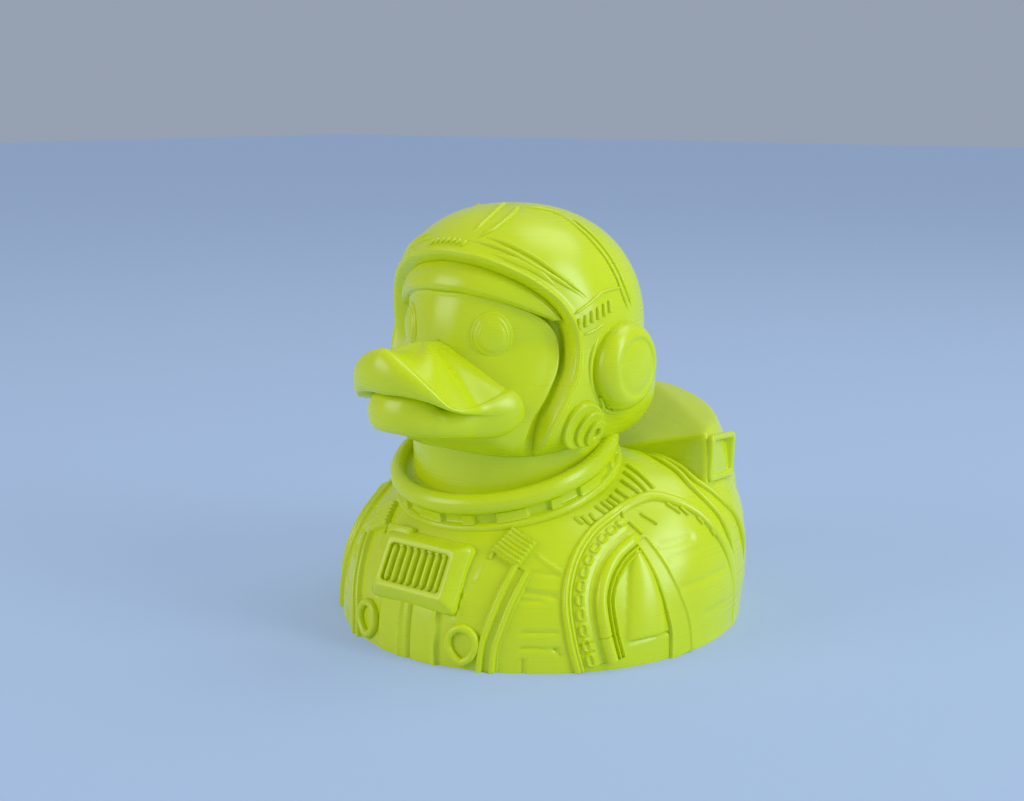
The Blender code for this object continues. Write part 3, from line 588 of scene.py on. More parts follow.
def sleeve_band(side):
    """Front leg of the sleeve's trim, one profile swept along the arch and changed along its run.

    Across it lie a link chain, a hollow, a round roll and two cords. The links are capsules set one
    after another along the run, each with a sunk middle.
    """
    form = BodyForm()
    track, run = path(form, SLEEVE_BEAD[:7], side, 0.2 * MM)
    keep = run < run[-1] * 0.93
    track, run = (track[0][keep], track[1][keep]), run[keep]
    offsets = np.arange(1.5, 11.15, 0.13) * MM
    across = offsets[None, :]
    along = run[:, None]
    pitch, link_length, link_width = 3.15 * MM, 2.75 * MM, 1.65 * MM
    phase = np.mod(along, pitch) - pitch / 2
    beside = across - 3.2 * MM
    capsule = np.hypot(np.maximum(np.abs(phase) - (link_length - link_width) / 2, 0.0),
                       beside) - link_width / 2
    links = 0.55 * smooth_step(0.12 * MM, -0.22 * MM, capsule)
    links -= 0.35 * smooth_step(-0.25 * MM, -0.55 * MM, capsule)
    hollow = -0.25 * ridge(across - 5.2 * MM, 2.6 * MM)
    swell = 1.15 * roll(across - 7.35 * MM, 2.3 * MM)
    cords = 0.75 * ridge(across - 8.95 * MM, 0.95 * MM) + 0.7 * ridge(across - 9.85 * MM, 0.95 * MM)
    rise = (0.22 + links + hollow + np.maximum(swell, cords)) * MM
    rise -= 0.9 * MM * smooth_step(10.1 * MM, 11.0 * MM, across)
    rise -= 0.5 * MM * smooth_step(1.9 * MM, 1.5 * MM, across)
    rise -= 0.4 * MM * (ridge(along - 5.0 * MM, 0.7 * MM) + ridge(along - 3.0 * MM, 0.6 * MM)
                        * (across < 4.4 * MM))
    rise = blend(rise, np.full_like(rise, -0.25 * MM), smooth_step(run[-1] - 3.5 * MM, run[-1],
                                                                   along + 0.25 * (across - 6.0 * MM)))
    return strip(form, track, offsets * side, rise, sink=1.4 * MM)


def sleeve_bead(side):
    """Outer edge of the sleeve: a double bead up the front, one broad roll over the shoulder and down."""
    form = BodyForm()
    track, run = path(form, SLEEVE_BEAD, side, 0.25 * MM)
    offsets = np.linspace(-0.35, 2.3, 23) * MM
    across, along = offsets[None, :], run[:, None]
    over = smooth_step(34.0 * MM, 42.0 * MM, along)
    double = np.maximum(roll(across - 0.45 * MM, 1.15 * MM) * 0.95, roll(across - 1.25 * MM, 0.95 * MM) * 0.7)
    broad = roll(across - 0.95 * MM, 2.5 * MM) * 0.85
    down = 0.75 * smooth_step(run[-1] - 26.0 * MM, run[-1] - 10.0 * MM, along)
    rise = (blend(double, broad, over) * (1.0 - down) - 0.05) * MM
    rise -= 0.35 * MM * smooth_step(1.9 * MM, 2.3 * MM, across)
    return strip(form, track, offsets * side, rise)


def sleeve_cross_strap(side):
    """Strap that crosses the sleeve from the top of the arch to the base, wider below, with beaded edges."""
    form = BodyForm()
    track, run = path(form, ((69.6, 22.4), (72.9, 16.6), (75.1, 11.0), (77.0, 5.6), (77.7, 0.05)), side)
    share = run / run[-1]
    half = blend(1.6, 3.3, share ** 1.2)[:, None] * MM
    offsets = np.linspace(-1.0, 1.0, 25)
    across = offsets[None, :] * half
    edge = np.abs(np.abs(across) - half + 0.45 * MM)
    rise = (0.35 + 0.30 * ridge(edge, 0.8 * MM)) * MM
    rise = rise - 0.9 * MM * smooth_step(0.9, 1.0, np.abs(offsets))[None, :]
    return strip(form, track, offsets * MM * side, rise, widths=half[:, 0] / MM)


def sleeve_grids():
    grids = []
    form = BodyForm()
    for side in SIDES:
        grids += [sleeve_bead(side), sleeve_band(side), sleeve_cross_strap(side)]
        for start, end, width in (((68.6, 25.6), (71.2, 23.4), 0.9), ((73.6, 26.8), (77.2, 24.8), 0.8),
                                  ((83.6, 28.0), (86.2, 26.1), 0.8), ((87.0, 27.2), (88.4, 25.6), 0.8),
                                  ((90.6, 25.2), (91.8, 23.6), 0.7), ((93.6, 22.6), (94.8, 21.0), 0.7)):
            grids.append(bead(form, (start, end), side, width * MM, 0.6 * MM))
    return grids


def ladder_grids():
    """Short bars that fan out between the collar and the top of the sleeve, longer towards the back."""
    form = BodyForm()
    grids = []
    bars = (((49.5, 26.9), (52.0, 25.7)), ((52.0, 27.0), (55.0, 25.5)), ((55.6, 27.3), (57.4, 25.9)),
            ((59.0, 28.2), (62.6, 26.8)),
            ((62.4, 28.7), (65.2, 27.4)), ((65.2, 29.0), (68.0, 27.7)), ((67.6, 29.6), (70.6, 28.1)),
            ((71.4, 30.4), (74.0, 28.8)),
            ((76.6, 31.7), (78.6, 29.6)), ((81.6, 32.8), (81.2, 29.8)), ((87.0, 33.6), (84.2, 30.3)))
    for side in SIDES:
        for start, end in bars:
            grids.append(bead(form, (start, end), side, 1.05 * MM, 0.65 * MM))
    return grids


def rope_grids():
    """Two beads that leave the collar together, pass the foot of the pack and run down the flank."""
    form = BodyForm()
    inner = ((108, 34.6), (102, 33.6), (99, 32.0), (97, 29.8), (98, 27.2), (100, 24.2), (101.5, 20.5),
             (104, 15.5))
    outer = ((112, 34.7), (106, 34.0), (103, 32.6), (101, 30.6), (103, 28.4), (105, 26.4), (109, 23.2),
             (112, 18.5), (115, 12.0))
    return [bead(form, pairs, side, 1.5 * MM, 0.8 * MM, fade=7.0 * MM) for side in SIDES
            for pairs in (inner, outer)]


def harness_grids():
    """Front straps from the collar to the base, each with two beads at its outer edge and a ribbed pad."""
    form = BodyForm()
    grids = []
    for side in SIDES:
        track, run = path(form, ((20.2, 0.05), (20.8, 5.0), (22.8, 10.0), (25.4, 15.2), (28.6, 19.6)), side)
        offsets = np.arange(-0.4, 4.75, 0.14) * MM
        across = offsets[None, :]
        rise = (0.18 + 0.85 * roll(across - 0.75 * MM, 1.3 * MM)
                + 0.75 * roll(across - 3.15 * MM, 1.2 * MM)) * MM
        rise = np.broadcast_to(rise, (len(run), len(offsets))).copy()
        rise -= 0.9 * MM * smooth_step(4.1 * MM, 4.7 * MM, across)
        rise -= 0.6 * MM * smooth_step(0.0, -0.4 * MM, across)
        grids.append(strip(form, track, offsets * side, rise))
        grids.append(pad_grid(form, side))
        grids.append(bead(form, ((23.8, 22.5), (21.4, 20.2)), side, 0.8 * MM, 0.5 * MM))
    return grids


def pad_grid(form, side):
    """Thick pad where the strap meets the collar: a rounded slab with fine ribs along it."""
    track, run = path(form, ((21.6, 21.8), (26.0, 20.4), (30.4, 19.0)), side, 0.18 * MM)
    offsets = np.linspace(-0.2, 6.3, 60) * MM
    across, along = offsets[None, :], run[:, None]
    ribs = 0.22 * np.cos(2.0 * np.pi * across / (0.92 * MM))
    edge = np.minimum(np.minimum(along, run[-1] - along), np.minimum(across + 0.2 * MM, 6.3 * MM - across))
    rise = (1.25 + ribs) * MM * smooth_step(-0.1 * MM, 0.5 * MM, edge) - 0.15 * MM
    return strip(form, track, -offsets * side, rise, sink=1.2 * MM)


def box_form():
    """Plane of the breast pack: it leans with the breast between two heights."""
    form = BodyForm()
    low, high = form.size.height * 0.35, form.size.height * 0.60
    ends = form.at(np.zeros(2), form.tilt(np.zeros(2), np.array([low, high])))
    up = unit(ends[1] - ends[0])
    return PlateForm((ends[0] + ends[1]) / 2, np.cross([1.0, 0.0, 0.0], up), up)


def rounded_outline(half_width, half_height, corner, count=96):
    """Rectangle with quarter-round corners: direction cosines pushed out to the sides."""
    angle = np.linspace(0.0, 2.0 * np.pi, count, endpoint=False)
    across, up = np.cos(angle), np.sin(angle)
    power = 14.0
    reach = (np.abs(across / half_width) ** power + np.abs(up / half_height) ** power) ** (-1.0 / power)
    ring = np.stack([across * reach, up * reach], -1)
    inner = np.stack([np.clip(ring[:, 0], -half_width + corner, half_width - corner),
                      np.clip(ring[:, 1], -half_height + corner, half_height - corner)], -1)
    away = ring - inner
    return inner + away / np.maximum(np.linalg.norm(away, axis=1, keepdims=True), 1e-9) * corner


def stacked(form, half_width, half_height, corner, levels, count=160):
    """Rounded block: the outline grown by a step at each level of a list of (growth, rise) pairs."""
    rows = []
    for growth, rise in levels:
        ring = rounded_outline(half_width + growth, half_height + growth,
                               max(corner + 0.35 * growth, 0.15 * MM), count)
        rows.append(form.point(ring[:, 0], ring[:, 1], rise))
    return np.stack(rows)


def box_grids():
    """Breast pack: bevelled block with a sunk grille of round ribs, and the tab above it."""
    kit = kit_sizes()
    form = box_form()
    width, height, rise = kit.box_width, kit.box_height, kit.box_rise
    shell = stacked(form, width / 2, height / 2, 0.5 * MM, [
        (2.0 * MM, -4.0 * MM), (2.0 * MM, -0.2 * MM), (1.85 * MM, 0.25 * MM), (0.25 * MM, rise - 0.25 * MM),
        (0.08 * MM, rise - 0.06 * MM), (-0.15 * MM, rise), (-0.95 * MM, rise), (-1.08 * MM, rise - 0.1 * MM),
        (-1.15 * MM, rise - 0.9 * MM), (-1.6 * MM, rise - 1.0 * MM)])
    grids = [shell]
    inner = width - 2.5 * MM
    pitch = inner / kit.box_ribs
    for index in range(kit.box_ribs):
        middle = (index + 0.5) * pitch - inner / 2
        angle = np.linspace(0.0, 2.0 * np.pi, 16, endpoint=False)
        up = np.linspace(-1.0, 1.0, 17)[:, None] * (height / 2 - 1.12 * MM)
        end = np.sqrt(np.clip(1.0 - (up / (height / 2 - 1.08 * MM)) ** 8, 0.0, 1.0))
        grids.append(form.point(middle + pitch * 0.34 * np.cos(angle)[None, :] * end, up,
                                rise - 0.95 * MM + 0.95 * MM * np.sin(angle)[None, :] * end))
    tab = PlateForm(form.place + form.up * (height / 2 + 1.7 * MM) - form.across * 7.6 * MM, form.way,
                    form.up)
    grids.append(stacked(tab, 3.0 * MM, 0.9 * MM, 0.3 * MM, [
        (0.1 * MM, -2.0 * MM), (0.1 * MM, 0.35 * MM), (0.0, 0.75 * MM), (-0.2 * MM, 0.9 * MM)], 64))
    return grids


BUCKLE_AZIMUTH, BUCKLE_HEIGHT = 16.5, 5.0 * MM


def buckle_grid(side):
    """Teardrop ring: a round wire on a circle drawn down to a blunt point, lying on the suit."""
    form, kit = BodyForm(), kit_sizes()
    angle = np.linspace(0.0, 2.0 * np.pi, 96, endpoint=False)
    drop = -np.cos(angle)
    across = np.sin(angle) * np.where(drop < 0, 0.86 + 0.14 * np.sin(angle) ** 2, 1.0)
    drop = np.where(drop < 0, drop * (1.22 - 0.15 * np.abs(np.sin(angle))), drop)
    lap = form.size.front * np.radians(1.0)
    azimuth = side * BUCKLE_AZIMUTH + across * kit.buckle_radius / lap
    height = BUCKLE_HEIGHT + drop * kit.buckle_radius
    tilt = form.tilt(azimuth, height)
    middle = form.off(azimuth, tilt, np.full_like(azimuth, 0.3 * MM))
    normal = form.normal(azimuth, tilt)
    along = unit(np.roll(middle, -1, 0) - np.roll(middle, 1, 0))
    sideways = np.cross(normal, along)
    ring = np.linspace(0.0, 2.0 * np.pi, 20, endpoint=False)
    half = kit.buckle_wire / 2
    wire = (middle[None] + sideways[None] * (half * np.cos(ring))[:, None, None]
            + normal[None] * (half * 1.1 * np.sin(ring))[:, None, None])
    return np.concatenate([wire, wire[:1]])


def collar_point(azimuth, radius, level):
    """Point of the leaning collar: azimuth round its axis, radius from it, level along it."""
    size = body_sizes()
    lean = math.radians(size.collar_lean)
    foot = np.array([0.0, -size.collar_forward, size.height - size.collar_drop])
    axis = np.array([0.0, -math.sin(lean), math.cos(lean)])
    front = np.array([0.0, -math.cos(lean), -math.sin(lean)])
    angle = np.radians(azimuth)
    azimuth, radius, level = np.broadcast_arrays(angle, radius, level)
    flat = front * np.cos(azimuth)[..., None] + np.array([1.0, 0.0, 0.0]) * np.sin(azimuth)[..., None]
    return foot + flat * radius[..., None] + axis * level[..., None]


def collar_grid():
    """Turned collar: a rounded flange, a channel crossed by wide and narrow blocks, and a broad bead.

    The profile is a list of (radius step, level) pairs in millimetres, smoothed along its length. In
    the channel the radius is lifted where a block stands, by a mask in azimuth and level.
    """
    size = body_sizes()
    steps = np.array([(-1.6, -4.5), (-0.8, -0.4), (-0.1, 0.05), (0.25, 0.55), (0.3, 1.0), (0.1, 1.55),
                      (-0.4, 1.85),
                      (-1.15, 1.95), (-1.3, 2.1), (-1.35, 3.0), (-1.3, 3.95), (-1.1, 4.1), (-0.4, 4.15),
                      (0.0, 4.4),
                      (0.3, 5.0), (0.35, 5.8), (0.15, 6.7), (-0.4, 7.4), (-1.1, 7.8), (-1.9, 7.8),
                      (-2.4, 7.5), (-2.7, 6.9),
                      (-2.85, 5.8)])
    chord = np.concatenate([[0.0], np.cumsum(np.hypot(*np.diff(steps, axis=0).T))])
    fine = np.linspace(0.0, chord[-1], 70)
    radius = (size.collar_radius + np.interp(fine, chord, steps[:, 0]) * MM)[:, None]
    level = (np.interp(fine, chord, steps[:, 1]) * MM)[:, None]
    azimuth = np.linspace(-180.0, 180.0, 480, endpoint=False)[None, :]
    wide = np.mod(azimuth + 5.0 + 22.5, 45.0) - 22.5
    narrow = np.mod(azimuth - 17.5 + 22.5, 45.0) - 22.5
    block = np.maximum(smooth_step(8.3, 7.6, np.abs(wide)), smooth_step(3.4, 2.8, np.abs(narrow)))
    channel = smooth_step(-0.5 * MM, -1.2 * MM, radius - size.collar_radius)
    channel = channel * (level < 4.6 * MM) * (level > 1.0 * MM)
    lifted = radius + channel * block * 0.85 * MM
    return collar_point(azimuth, lifted, level)


def neck_grid():
    """Round neck from inside the body to inside the head."""
    size, head = body_sizes(), head_sizes()
    angle = np.linspace(0.0, 2.0 * np.pi, 160, endpoint=False)[None, :]
    height = np.linspace(size.height * 0.6, head.height - head.half_height * 0.4, 40)[:, None]
    radius = size.neck_radius
    angle, height = np.broadcast_arrays(angle, height)
    return np.stack([radius * np.sin(angle), -head.forward - radius * np.cos(angle), height], -1)


def rim_opening(turn):
    """Opening of the groove round the face, from the crown to the throat."""
    return smooth_curve([-20, 20, 40, 58, 71, 87, 103, 116, 127, 138, 150, 161, 180, 220],
                        [36.5, 37.5, 43, 52, 59.5, 65, 64.5, 60, 57.5, 59, 68, 88, 102, 88], np.abs(turn))


def lip_opening(turn):
    """Opening of the face's edge, which runs under the visor above and inside the groove at the sides."""
    return smooth_curve([-20, 20, 51, 63, 73, 79, 87, 102, 114, 125, 134, 150, 161, 180, 220],
                        [22, 24, 34, 42, 51.5, 56.5, 61, 62.0, 58.5, 55, 54.5, 61, 80, 95, 80], np.abs(turn))


def head_grid():
    """Face, groove, rim and helmet as rows round the brow axis, each row at its own share of the way.

    The rows' openings are measured from the rim, so that rim, groove and lip run along the rows.
    """
    form, size = HeadForm(), head_sizes()
    turn = np.linspace(-180.0, 180.0, 420, endpoint=False)[None, :]
    rim, lip = rim_opening(turn), lip_opening(turn)
    lip = np.minimum(lip, rim - 2.4)
    jaw = 1.0 - smooth_step(126.0, 148.0, np.abs(turn))
    face = size.face_recess * jaw
    rows = []
    for share in np.linspace(0.02, 0.985, 62):
        rows.append((lip * share, -face + 0.25 * MM * jaw * smooth_step(0.90, 0.99, share)))
    rows.append((lip * 0.996, -face + 0.28 * MM * jaw))
    floor = -size.groove_depth * jaw
    for share in np.linspace(0.0, 1.0, 15):
        drop = blend(-face + 0.2 * MM * jaw, floor, smooth_step(0.0, 0.42, share))
        rows.append((blend(lip + 0.05, rim + 0.4, share), drop))
    for share in np.linspace(0.06, 1.0, 12):
        rows.append((rim + 0.4 + 1.4 * share, blend(floor, 0.05 * MM, np.sin(share * np.pi / 2) ** 0.8)))
    for offset in np.linspace(0.15, 3.6, 16):
        rows.append((rim + 1.8 + offset, 0.05 * MM + 0.5 * MM * jaw * ridge(offset - 1.2, 3.4)
                     * (offset < 2.9)))
    start = rim + 5.4
    for share in np.linspace(0.004, 0.985, 92):
        rows.append((start + (180.0 - start) * share, 0.0))
    grid = [form.at(turn, opening, np.broadcast_to(rise, turn.shape)) for opening, rise in rows]
    return np.stack([row[0] for row in grid])


def visor_grid():
    """Raised visor: a rounded slab between its lower edge and the rim's groove, pointed at both ends."""
    form, size = HeadForm(), head_sizes()
    turn = np.linspace(-78.5, 78.5, 300)[:, None]
    low = smooth_curve([-20, 20, 45, 59, 70, 79], [23, 24.5, 31.0, 39.0, 49.0, 60.5], np.abs(turn))
    high = np.maximum(rim_opening(turn) + 0.9, low + 0.4)
    share = np.linspace(0.0, 1.0, 40)[None, :]
    opening = blend(low, high, share)
    lift = size.visor_recess - 0.65 * MM * np.sin(np.pi * share) ** 0.6
    lift = lift + 0.35 * MM * smooth_step(0.15, 0.0, share)
    top = form.at(turn, opening, -lift * np.ones_like(turn))
    back = [form.at(turn, edge, np.full_like(turn, -size.groove_depth - 0.6 * MM)) for edge in (high, low)]
    return np.concatenate([top, back[0], back[1]], axis=1)


def bill_outline(angle):
    """Plan reach of the upper bill: round in front, straight cheeks behind, in degrees from the tip."""
    size = head_sizes()
    turn = np.radians(angle)
    side, front = np.abs(np.sin(turn)), np.cos(turn)
    length = np.where(front > 0, size.bill_reach, size.bill_root)
    power = np.where(front > 0, 2.0, 3.0)
    flare = 1.0 + 0.30 * smooth_step(0.0, 0.6, -front)
    return ((side / (size.bill_half_width * flare)) ** power
            + (np.abs(front) / length) ** power) ** (-1.0 / power)


def bill_middle():
    size = head_sizes()
    return np.array([0.0, -size.forward - size.half_length - 0.6 * MM, 0.0])


def bill_points(angle, reach, height):
    turn = np.radians(angle)
    middle = bill_middle()
    return np.stack(np.broadcast_arrays(middle[0] + reach * np.sin(turn), middle[1] - reach * np.cos(turn),
                                        height), -1)


def mouth_height(angle):
    """Height of the line where the two halves of the bill meet, by the angle from the tip."""
    return smooth_curve([-20, 0, 25, 45, 63, 75, 90, 105, 120, 150, 180, 200],
                        [52.4, 52.5, 52.5, 51.8, 50.1, 49.3, 48.9, 48.7, 48.4, 48.4, 48.4, 48.4],
                        np.abs(angle)) * MM


SPINE_ROUND = 0.35


def upper_bill_grid():
    """Upper bill: a saddle that rises to a curled tip, a thick lip, and cheeks that roll down behind.

    Rows run from the middle of the saddle out to the crest, then round the lip by an angle that ends
    under it in front and at its widest over the cheeks, and then back inside.
    """
    angle = np.linspace(-180.0, 180.0, 360, endpoint=False)[None, :]
    turn = np.abs(angle)
    reach = bill_outline(angle)
    crest = smooth_curve([-20, 0, 25, 45, 70, 95, 108, 122, 150, 180, 200],
                         [0.80, 0.80, 0.84, 0.92, 0.965, 0.93, 0.88, 0.82, 0.80, 0.80, 0.80], turn)
    top = smooth_curve([-20, 0, 15, 27, 48, 63, 75, 90, 100, 110, 120, 135, 150, 180, 200],
                       [60.9, 61.2, 60.3, 59.0, 55.6, 52.4, 50.8, 50.3, 50.7, 51.6, 52.6, 53.9, 56.5, 60.0,
                        56.5], turn) * MM
    lean = math.tan(math.radians(head_sizes().bill_lean)) * smooth_step(85.0, 60.0, turn)
    top = top - reach * np.sin(np.radians(angle)) * lean
    mouth = mouth_height(turn)
    cheek = smooth_step(72.0, 122.0, turn)
    power = smooth_curve([-20, 0, 50, 70, 90, 110, 130, 180, 200],
                         [2.0, 2.0, 1.7, 1.35, 1.05, 0.85, 0.75, 0.7, 0.7], turn)
    spine = 60.9 * MM
    rows = []
    for share in np.linspace(0.02, 1.0, 60):
        dip = 1.3 * MM * np.sin(np.pi * share) * smooth_step(75.0, 20.0, turn)
        soft = (math.hypot(share, SPINE_ROUND) - SPINE_ROUND) / (math.hypot(1.0, SPINE_ROUND) - SPINE_ROUND)
        height = spine + (top - spine) * soft ** power - dip
        rows.append(bill_points(angle, reach * crest * share, height))
    centre = blend((top + mouth) / 2, mouth, cheek)
    half = blend((top - mouth) / 2, top - mouth, cheek)
    last = blend(-90.0, -2.0, cheek)
    for share in np.linspace(0.04, 1.0, 40):
        phase = np.radians(blend(90.0, last, share))
        rows.append(bill_points(angle, reach * (crest + (1.0 - crest) * np.cos(phase)),
                                centre + half * np.sin(phase)))
    rows.append(bill_points(angle, reach * blend(crest, 1.0, cheek) * 0.93, mouth + 0.15 * MM))
    rows.append(bill_points(angle, reach * 0.5, mouth + 0.4 * MM))
    return np.stack([row[0] for row in rows])


def lower_bill_grid():
    """Lower bill: a tongue in front that widens into the cheeks' undersides behind."""
    size = head_sizes()
    angle = np.linspace(-180.0, 180.0, 320, endpoint=False)[None, :]
    turn = np.abs(angle)
    cheek = smooth_step(62.0, 112.0, turn)
    front = np.cos(np.radians(angle))
    narrow = 1.0 / np.hypot(np.sin(np.radians(angle)) / (size.bill_half_width - 2.6 * MM),
                            front / np.where(front > 0, size.bill_reach - 2.6 * MM, size.bill_root))
    reach = blend(narrow, bill_outline(angle), cheek)
    upper = mouth_height(turn)
    low = smooth_curve([-20, 0, 30, 60, 90, 115, 150, 180, 200],
                       [45.0, 44.9, 44.6, 44.2, 43.7, 43.4, 43.2, 43.2, 43.2], turn) * MM
    crest = blend(0.82, 0.80, cheek)
    rows = [bill_points(angle, reach * 0.4, upper - 0.4 * MM),
            bill_points(angle, reach * 0.75, upper - 0.4 * MM)]
    first = blend(80.0, 2.0, cheek)
    top = blend(upper - 0.25 * MM, upper, cheek)
    centre = blend((top + low) / 2, top, cheek)
    half = blend((top - low) / 2, top - low, cheek)
    for share in np.linspace(0.0, 1.0, 42):
        phase = np.radians(blend(first, -90.0, share))
        rows.append(bill_points(angle, reach * (crest + (1.0 - crest) * np.cos(phase)),
                                centre + half * np.sin(phase)))
    for share in np.linspace(0.95, 0.05, 30):
        keel = -0.5 * MM * smooth_step(0.7, 0.2, share) * np.ones_like(turn)
        rows.append(bill_points(angle, reach * crest * share, low + keel))
    return np.stack([row[0] for row in rows])


def turned(form, profile, half_width, half_height, count=96, fine=None):
    """Oval stack: rings scaled by the first and raised by the second value of smoothed profile pairs."""
    profile = np.asarray(profile, float)
    if fine:
        steps = np.diff(profile, axis=0) * [half_width, 1.0]
        chord = np.concatenate([[0.0], np.cumsum(np.hypot(*steps.T))])
        at = np.linspace(0.0, chord[-1], fine)
        profile = np.stack([smooth_curve(chord, profile[:, 0], at), smooth_curve(chord, profile[:, 1], at)],
                           -1)
    angle = np.linspace(0.0, 2.0 * np.pi, count, endpoint=False)[None, :]
    scale, rise = profile[:, :1], profile[:, 1:]
    return form.point(scale * half_width * np.cos(angle), scale * half_height * np.sin(angle), rise)


EYE_TURN, EYE_OPENING = 84.0, 28.0


def eye_grids():
    """Eyes: a shallow ring, a groove and a domed pupil with a flatter middle."""
    form, size = HeadForm(), head_sizes()
    grids = []
    for side in SIDES:
        turn, opening = np.array(side * EYE_TURN), np.array(EYE_OPENING)
        normal = form.normal(turn, opening)
        plate = PlateForm(form.at(turn, opening, np.array(-size.face_recess)), normal)
        profile = [(1.06, -1.2 * MM), (1.04, -0.15 * MM), (1.0, 0.06 * MM), (0.96, 0.1 * MM),
                   (0.92, 0.1 * MM),
                   (0.87, 0.34 * MM), (0.8, 0.54 * MM), (0.74, 0.58 * MM), (0.7, 0.64 * MM), (0.6, 0.84 * MM),
                   (0.4, 1.02 * MM), (0.2, 1.1 * MM), (0.03, 1.12 * MM)]
        grids.append(turned(plate, profile, size.eye_half_width, size.eye_half_height, fine=60))
    return grids


def ear_grids():
    """Ear cups: a thin base ring, a round-shouldered cup and a dished face inside a fine step."""
    size = head_sizes()
    grids = []
    for side in SIDES:
        place = np.array([side * (size.half_width - 3.0 * MM), -size.forward + 2.2 * MM,
                          size.height - 5.8 * MM])
        plate = PlateForm(place, (side, 0.0, 0.0))
        depth = size.ear_depth
        profile = [(1.0, -6.0 * MM), (1.04, 1.2 * MM), (1.05, 2.0 * MM), (1.02, 2.35 * MM),
                   (0.97, 2.4 * MM), (0.935, 2.1 * MM),
                   (0.925, 2.6 * MM), (0.93, 3.6 * MM), (0.90, 4.8 * MM), (0.82, depth + 0.9 * MM),
                   (0.72, depth + 1.55 * MM),
                   (0.64, depth + 1.7 * MM), (0.585, depth + 1.45 * MM), (0.55, depth + 1.5 * MM),
                   (0.4, depth + 1.85 * MM),
                   (0.2, depth + 2.0 * MM), (0.03, depth + 2.05 * MM)]
        grids.append(turned(plate, profile, size.ear_radius, size.ear_radius, count=120, fine=84))
    return grids


def hub_grids():
    """Jaw hubs: three stepped ovals whose rear edges meet, and a small eye with its hole."""
    form = HeadForm()
    grids = []
    for side in SIDES:
        for turn, opening, wide, tall, low, rise in ((125.0, 74.0, 4.7, 5.0, 0.0, 0.55),
                                                     (126.0, 77.5, 3.5, 4.0, 0.4, 1.15),
                                                     (127.0, 80.0, 2.3, 2.9, 0.9, 1.75)):
            spot = np.array(side * turn), np.array(opening)
            plate = PlateForm(form.at(*spot), form.normal(*spot))
            profile = [(1.0, -1.5 * MM), (1.02, (rise - 0.45) * MM), (1.0, (rise - 0.1) * MM),
                       (0.93, rise * MM),
                       (0.8, (rise - 0.05) * MM), (0.5, (rise - 0.12) * MM), (0.05, (rise - 0.12) * MM)]
            if low > 0.5:
                profile[5:] = [(0.52, rise * MM), (0.40, (rise - 0.15) * MM), (0.33, (rise - 1.1) * MM),
                               (0.05, (rise - 1.2) * MM)]
            grids.append(turned(plate, profile, wide * MM, tall * MM, count=64, fine=42))
        for first, second in (((113.5, 80.0), (118.5, 83.0)), ((114.5, 84.0), (119.0, 87.0)),
                              ((116.0, 88.0), (120.5, 91.0))):
            grids.append(bead(form, (first, second), side, 0.9 * MM, 0.8 * MM))
    return grids


def helmet_trim_grids():
    """Ridges of the helmet, the same on both sides: brow blades, crown strip, rear piping and temple band."""
    form = HeadForm()
    grids = []
    for side in SIDES:
        tracks = [(((12, 46.5), (22, 48.5), (34, 52), (48, 57), (58, 63), (71, 73.5)), 1.0, 0.5, 6.0),
                  (((18, 51), (26, 53), (36, 56), (45, 59.5), (57, 65), (71, 75)), 1.0, 0.6, 6.0),
                  (((28, 46), (43, 52.5), (52, 57.5), (64, 63)), 1.6, 0.35, 5.0),
                  (((12, 82), (16, 85), (24, 91), (36, 91.5), (48, 93), (57, 95), (65, 96.5), (73, 98),
                    (80, 101)), 0.9, 0.5, 3.0),
                  (((30, 95), (40, 96), (49, 97.5), (59, 99.5), (70, 101.5), (79, 104.5)), 0.9, 0.5, 3.0),
                  (((77, 66.5), (73.5, 74.5), (70, 83), (69, 97)), 0.7, 0.5, 1.0),
                  (((87, 70), (85.5, 76), (83, 82)), 0.6, 0.35, 1.0)]
        if side == LEFT:
            tracks += [(((15, 48), (18, 58), (16, 70), (9, 84)), 0.9, 0.5, 3.0),
                       (((10, 50.5), (9, 62), (4, 76), (-2, 88)), 0.9, 0.5, 3.0)]
        for pairs, width, height, fade in tracks:
            grids.append(bead(form, pairs, side, width * MM, height * MM, fade=fade * MM))
        for turn, opening in ((82, 69), (81, 72.2), (79.6, 75.6), (78.6, 79), (77.6, 82.6), (76.6, 86.2)):
            grids.append(bead(form, ((turn - 3.2, opening + 0.4), (turn + 2.6, opening - 0.4)), side,
                              1.0 * MM, 0.6 * MM, 0.2 * MM))
    for turn in np.linspace(-15.0, 10.0, 7):
        grids.append(bead(form, ((turn + 0.8, 45.8), (turn, 42.6)), LEFT, 0.75 * MM, 0.6 * MM, 0.2 * MM))
    return grids


def pack_places():
    """Crest, upper corner, inner foot and side foot of the pack's left half, and its side's way."""
    kit, top = kit_sizes(), body_sizes().height
    turn = math.radians(kit.pack_side_turn)
    return (np.array([11.0 * MM, 30.0 * MM, top + kit.pack_crest]),
            np.array([kit.pack_half_width - 0.2 * MM, kit.pack_front + 1.6 * MM, top + kit.pack_corner]),
            np.array([15.5 * MM, kit.pack_front - 1.0 * MM, top - 0.2 * MM]),
            np.array([kit.pack_half_width, kit.pack_front, top - 5.2 * MM]),
            np.array([math.sin(turn), -math.cos(turn), 0.0]))


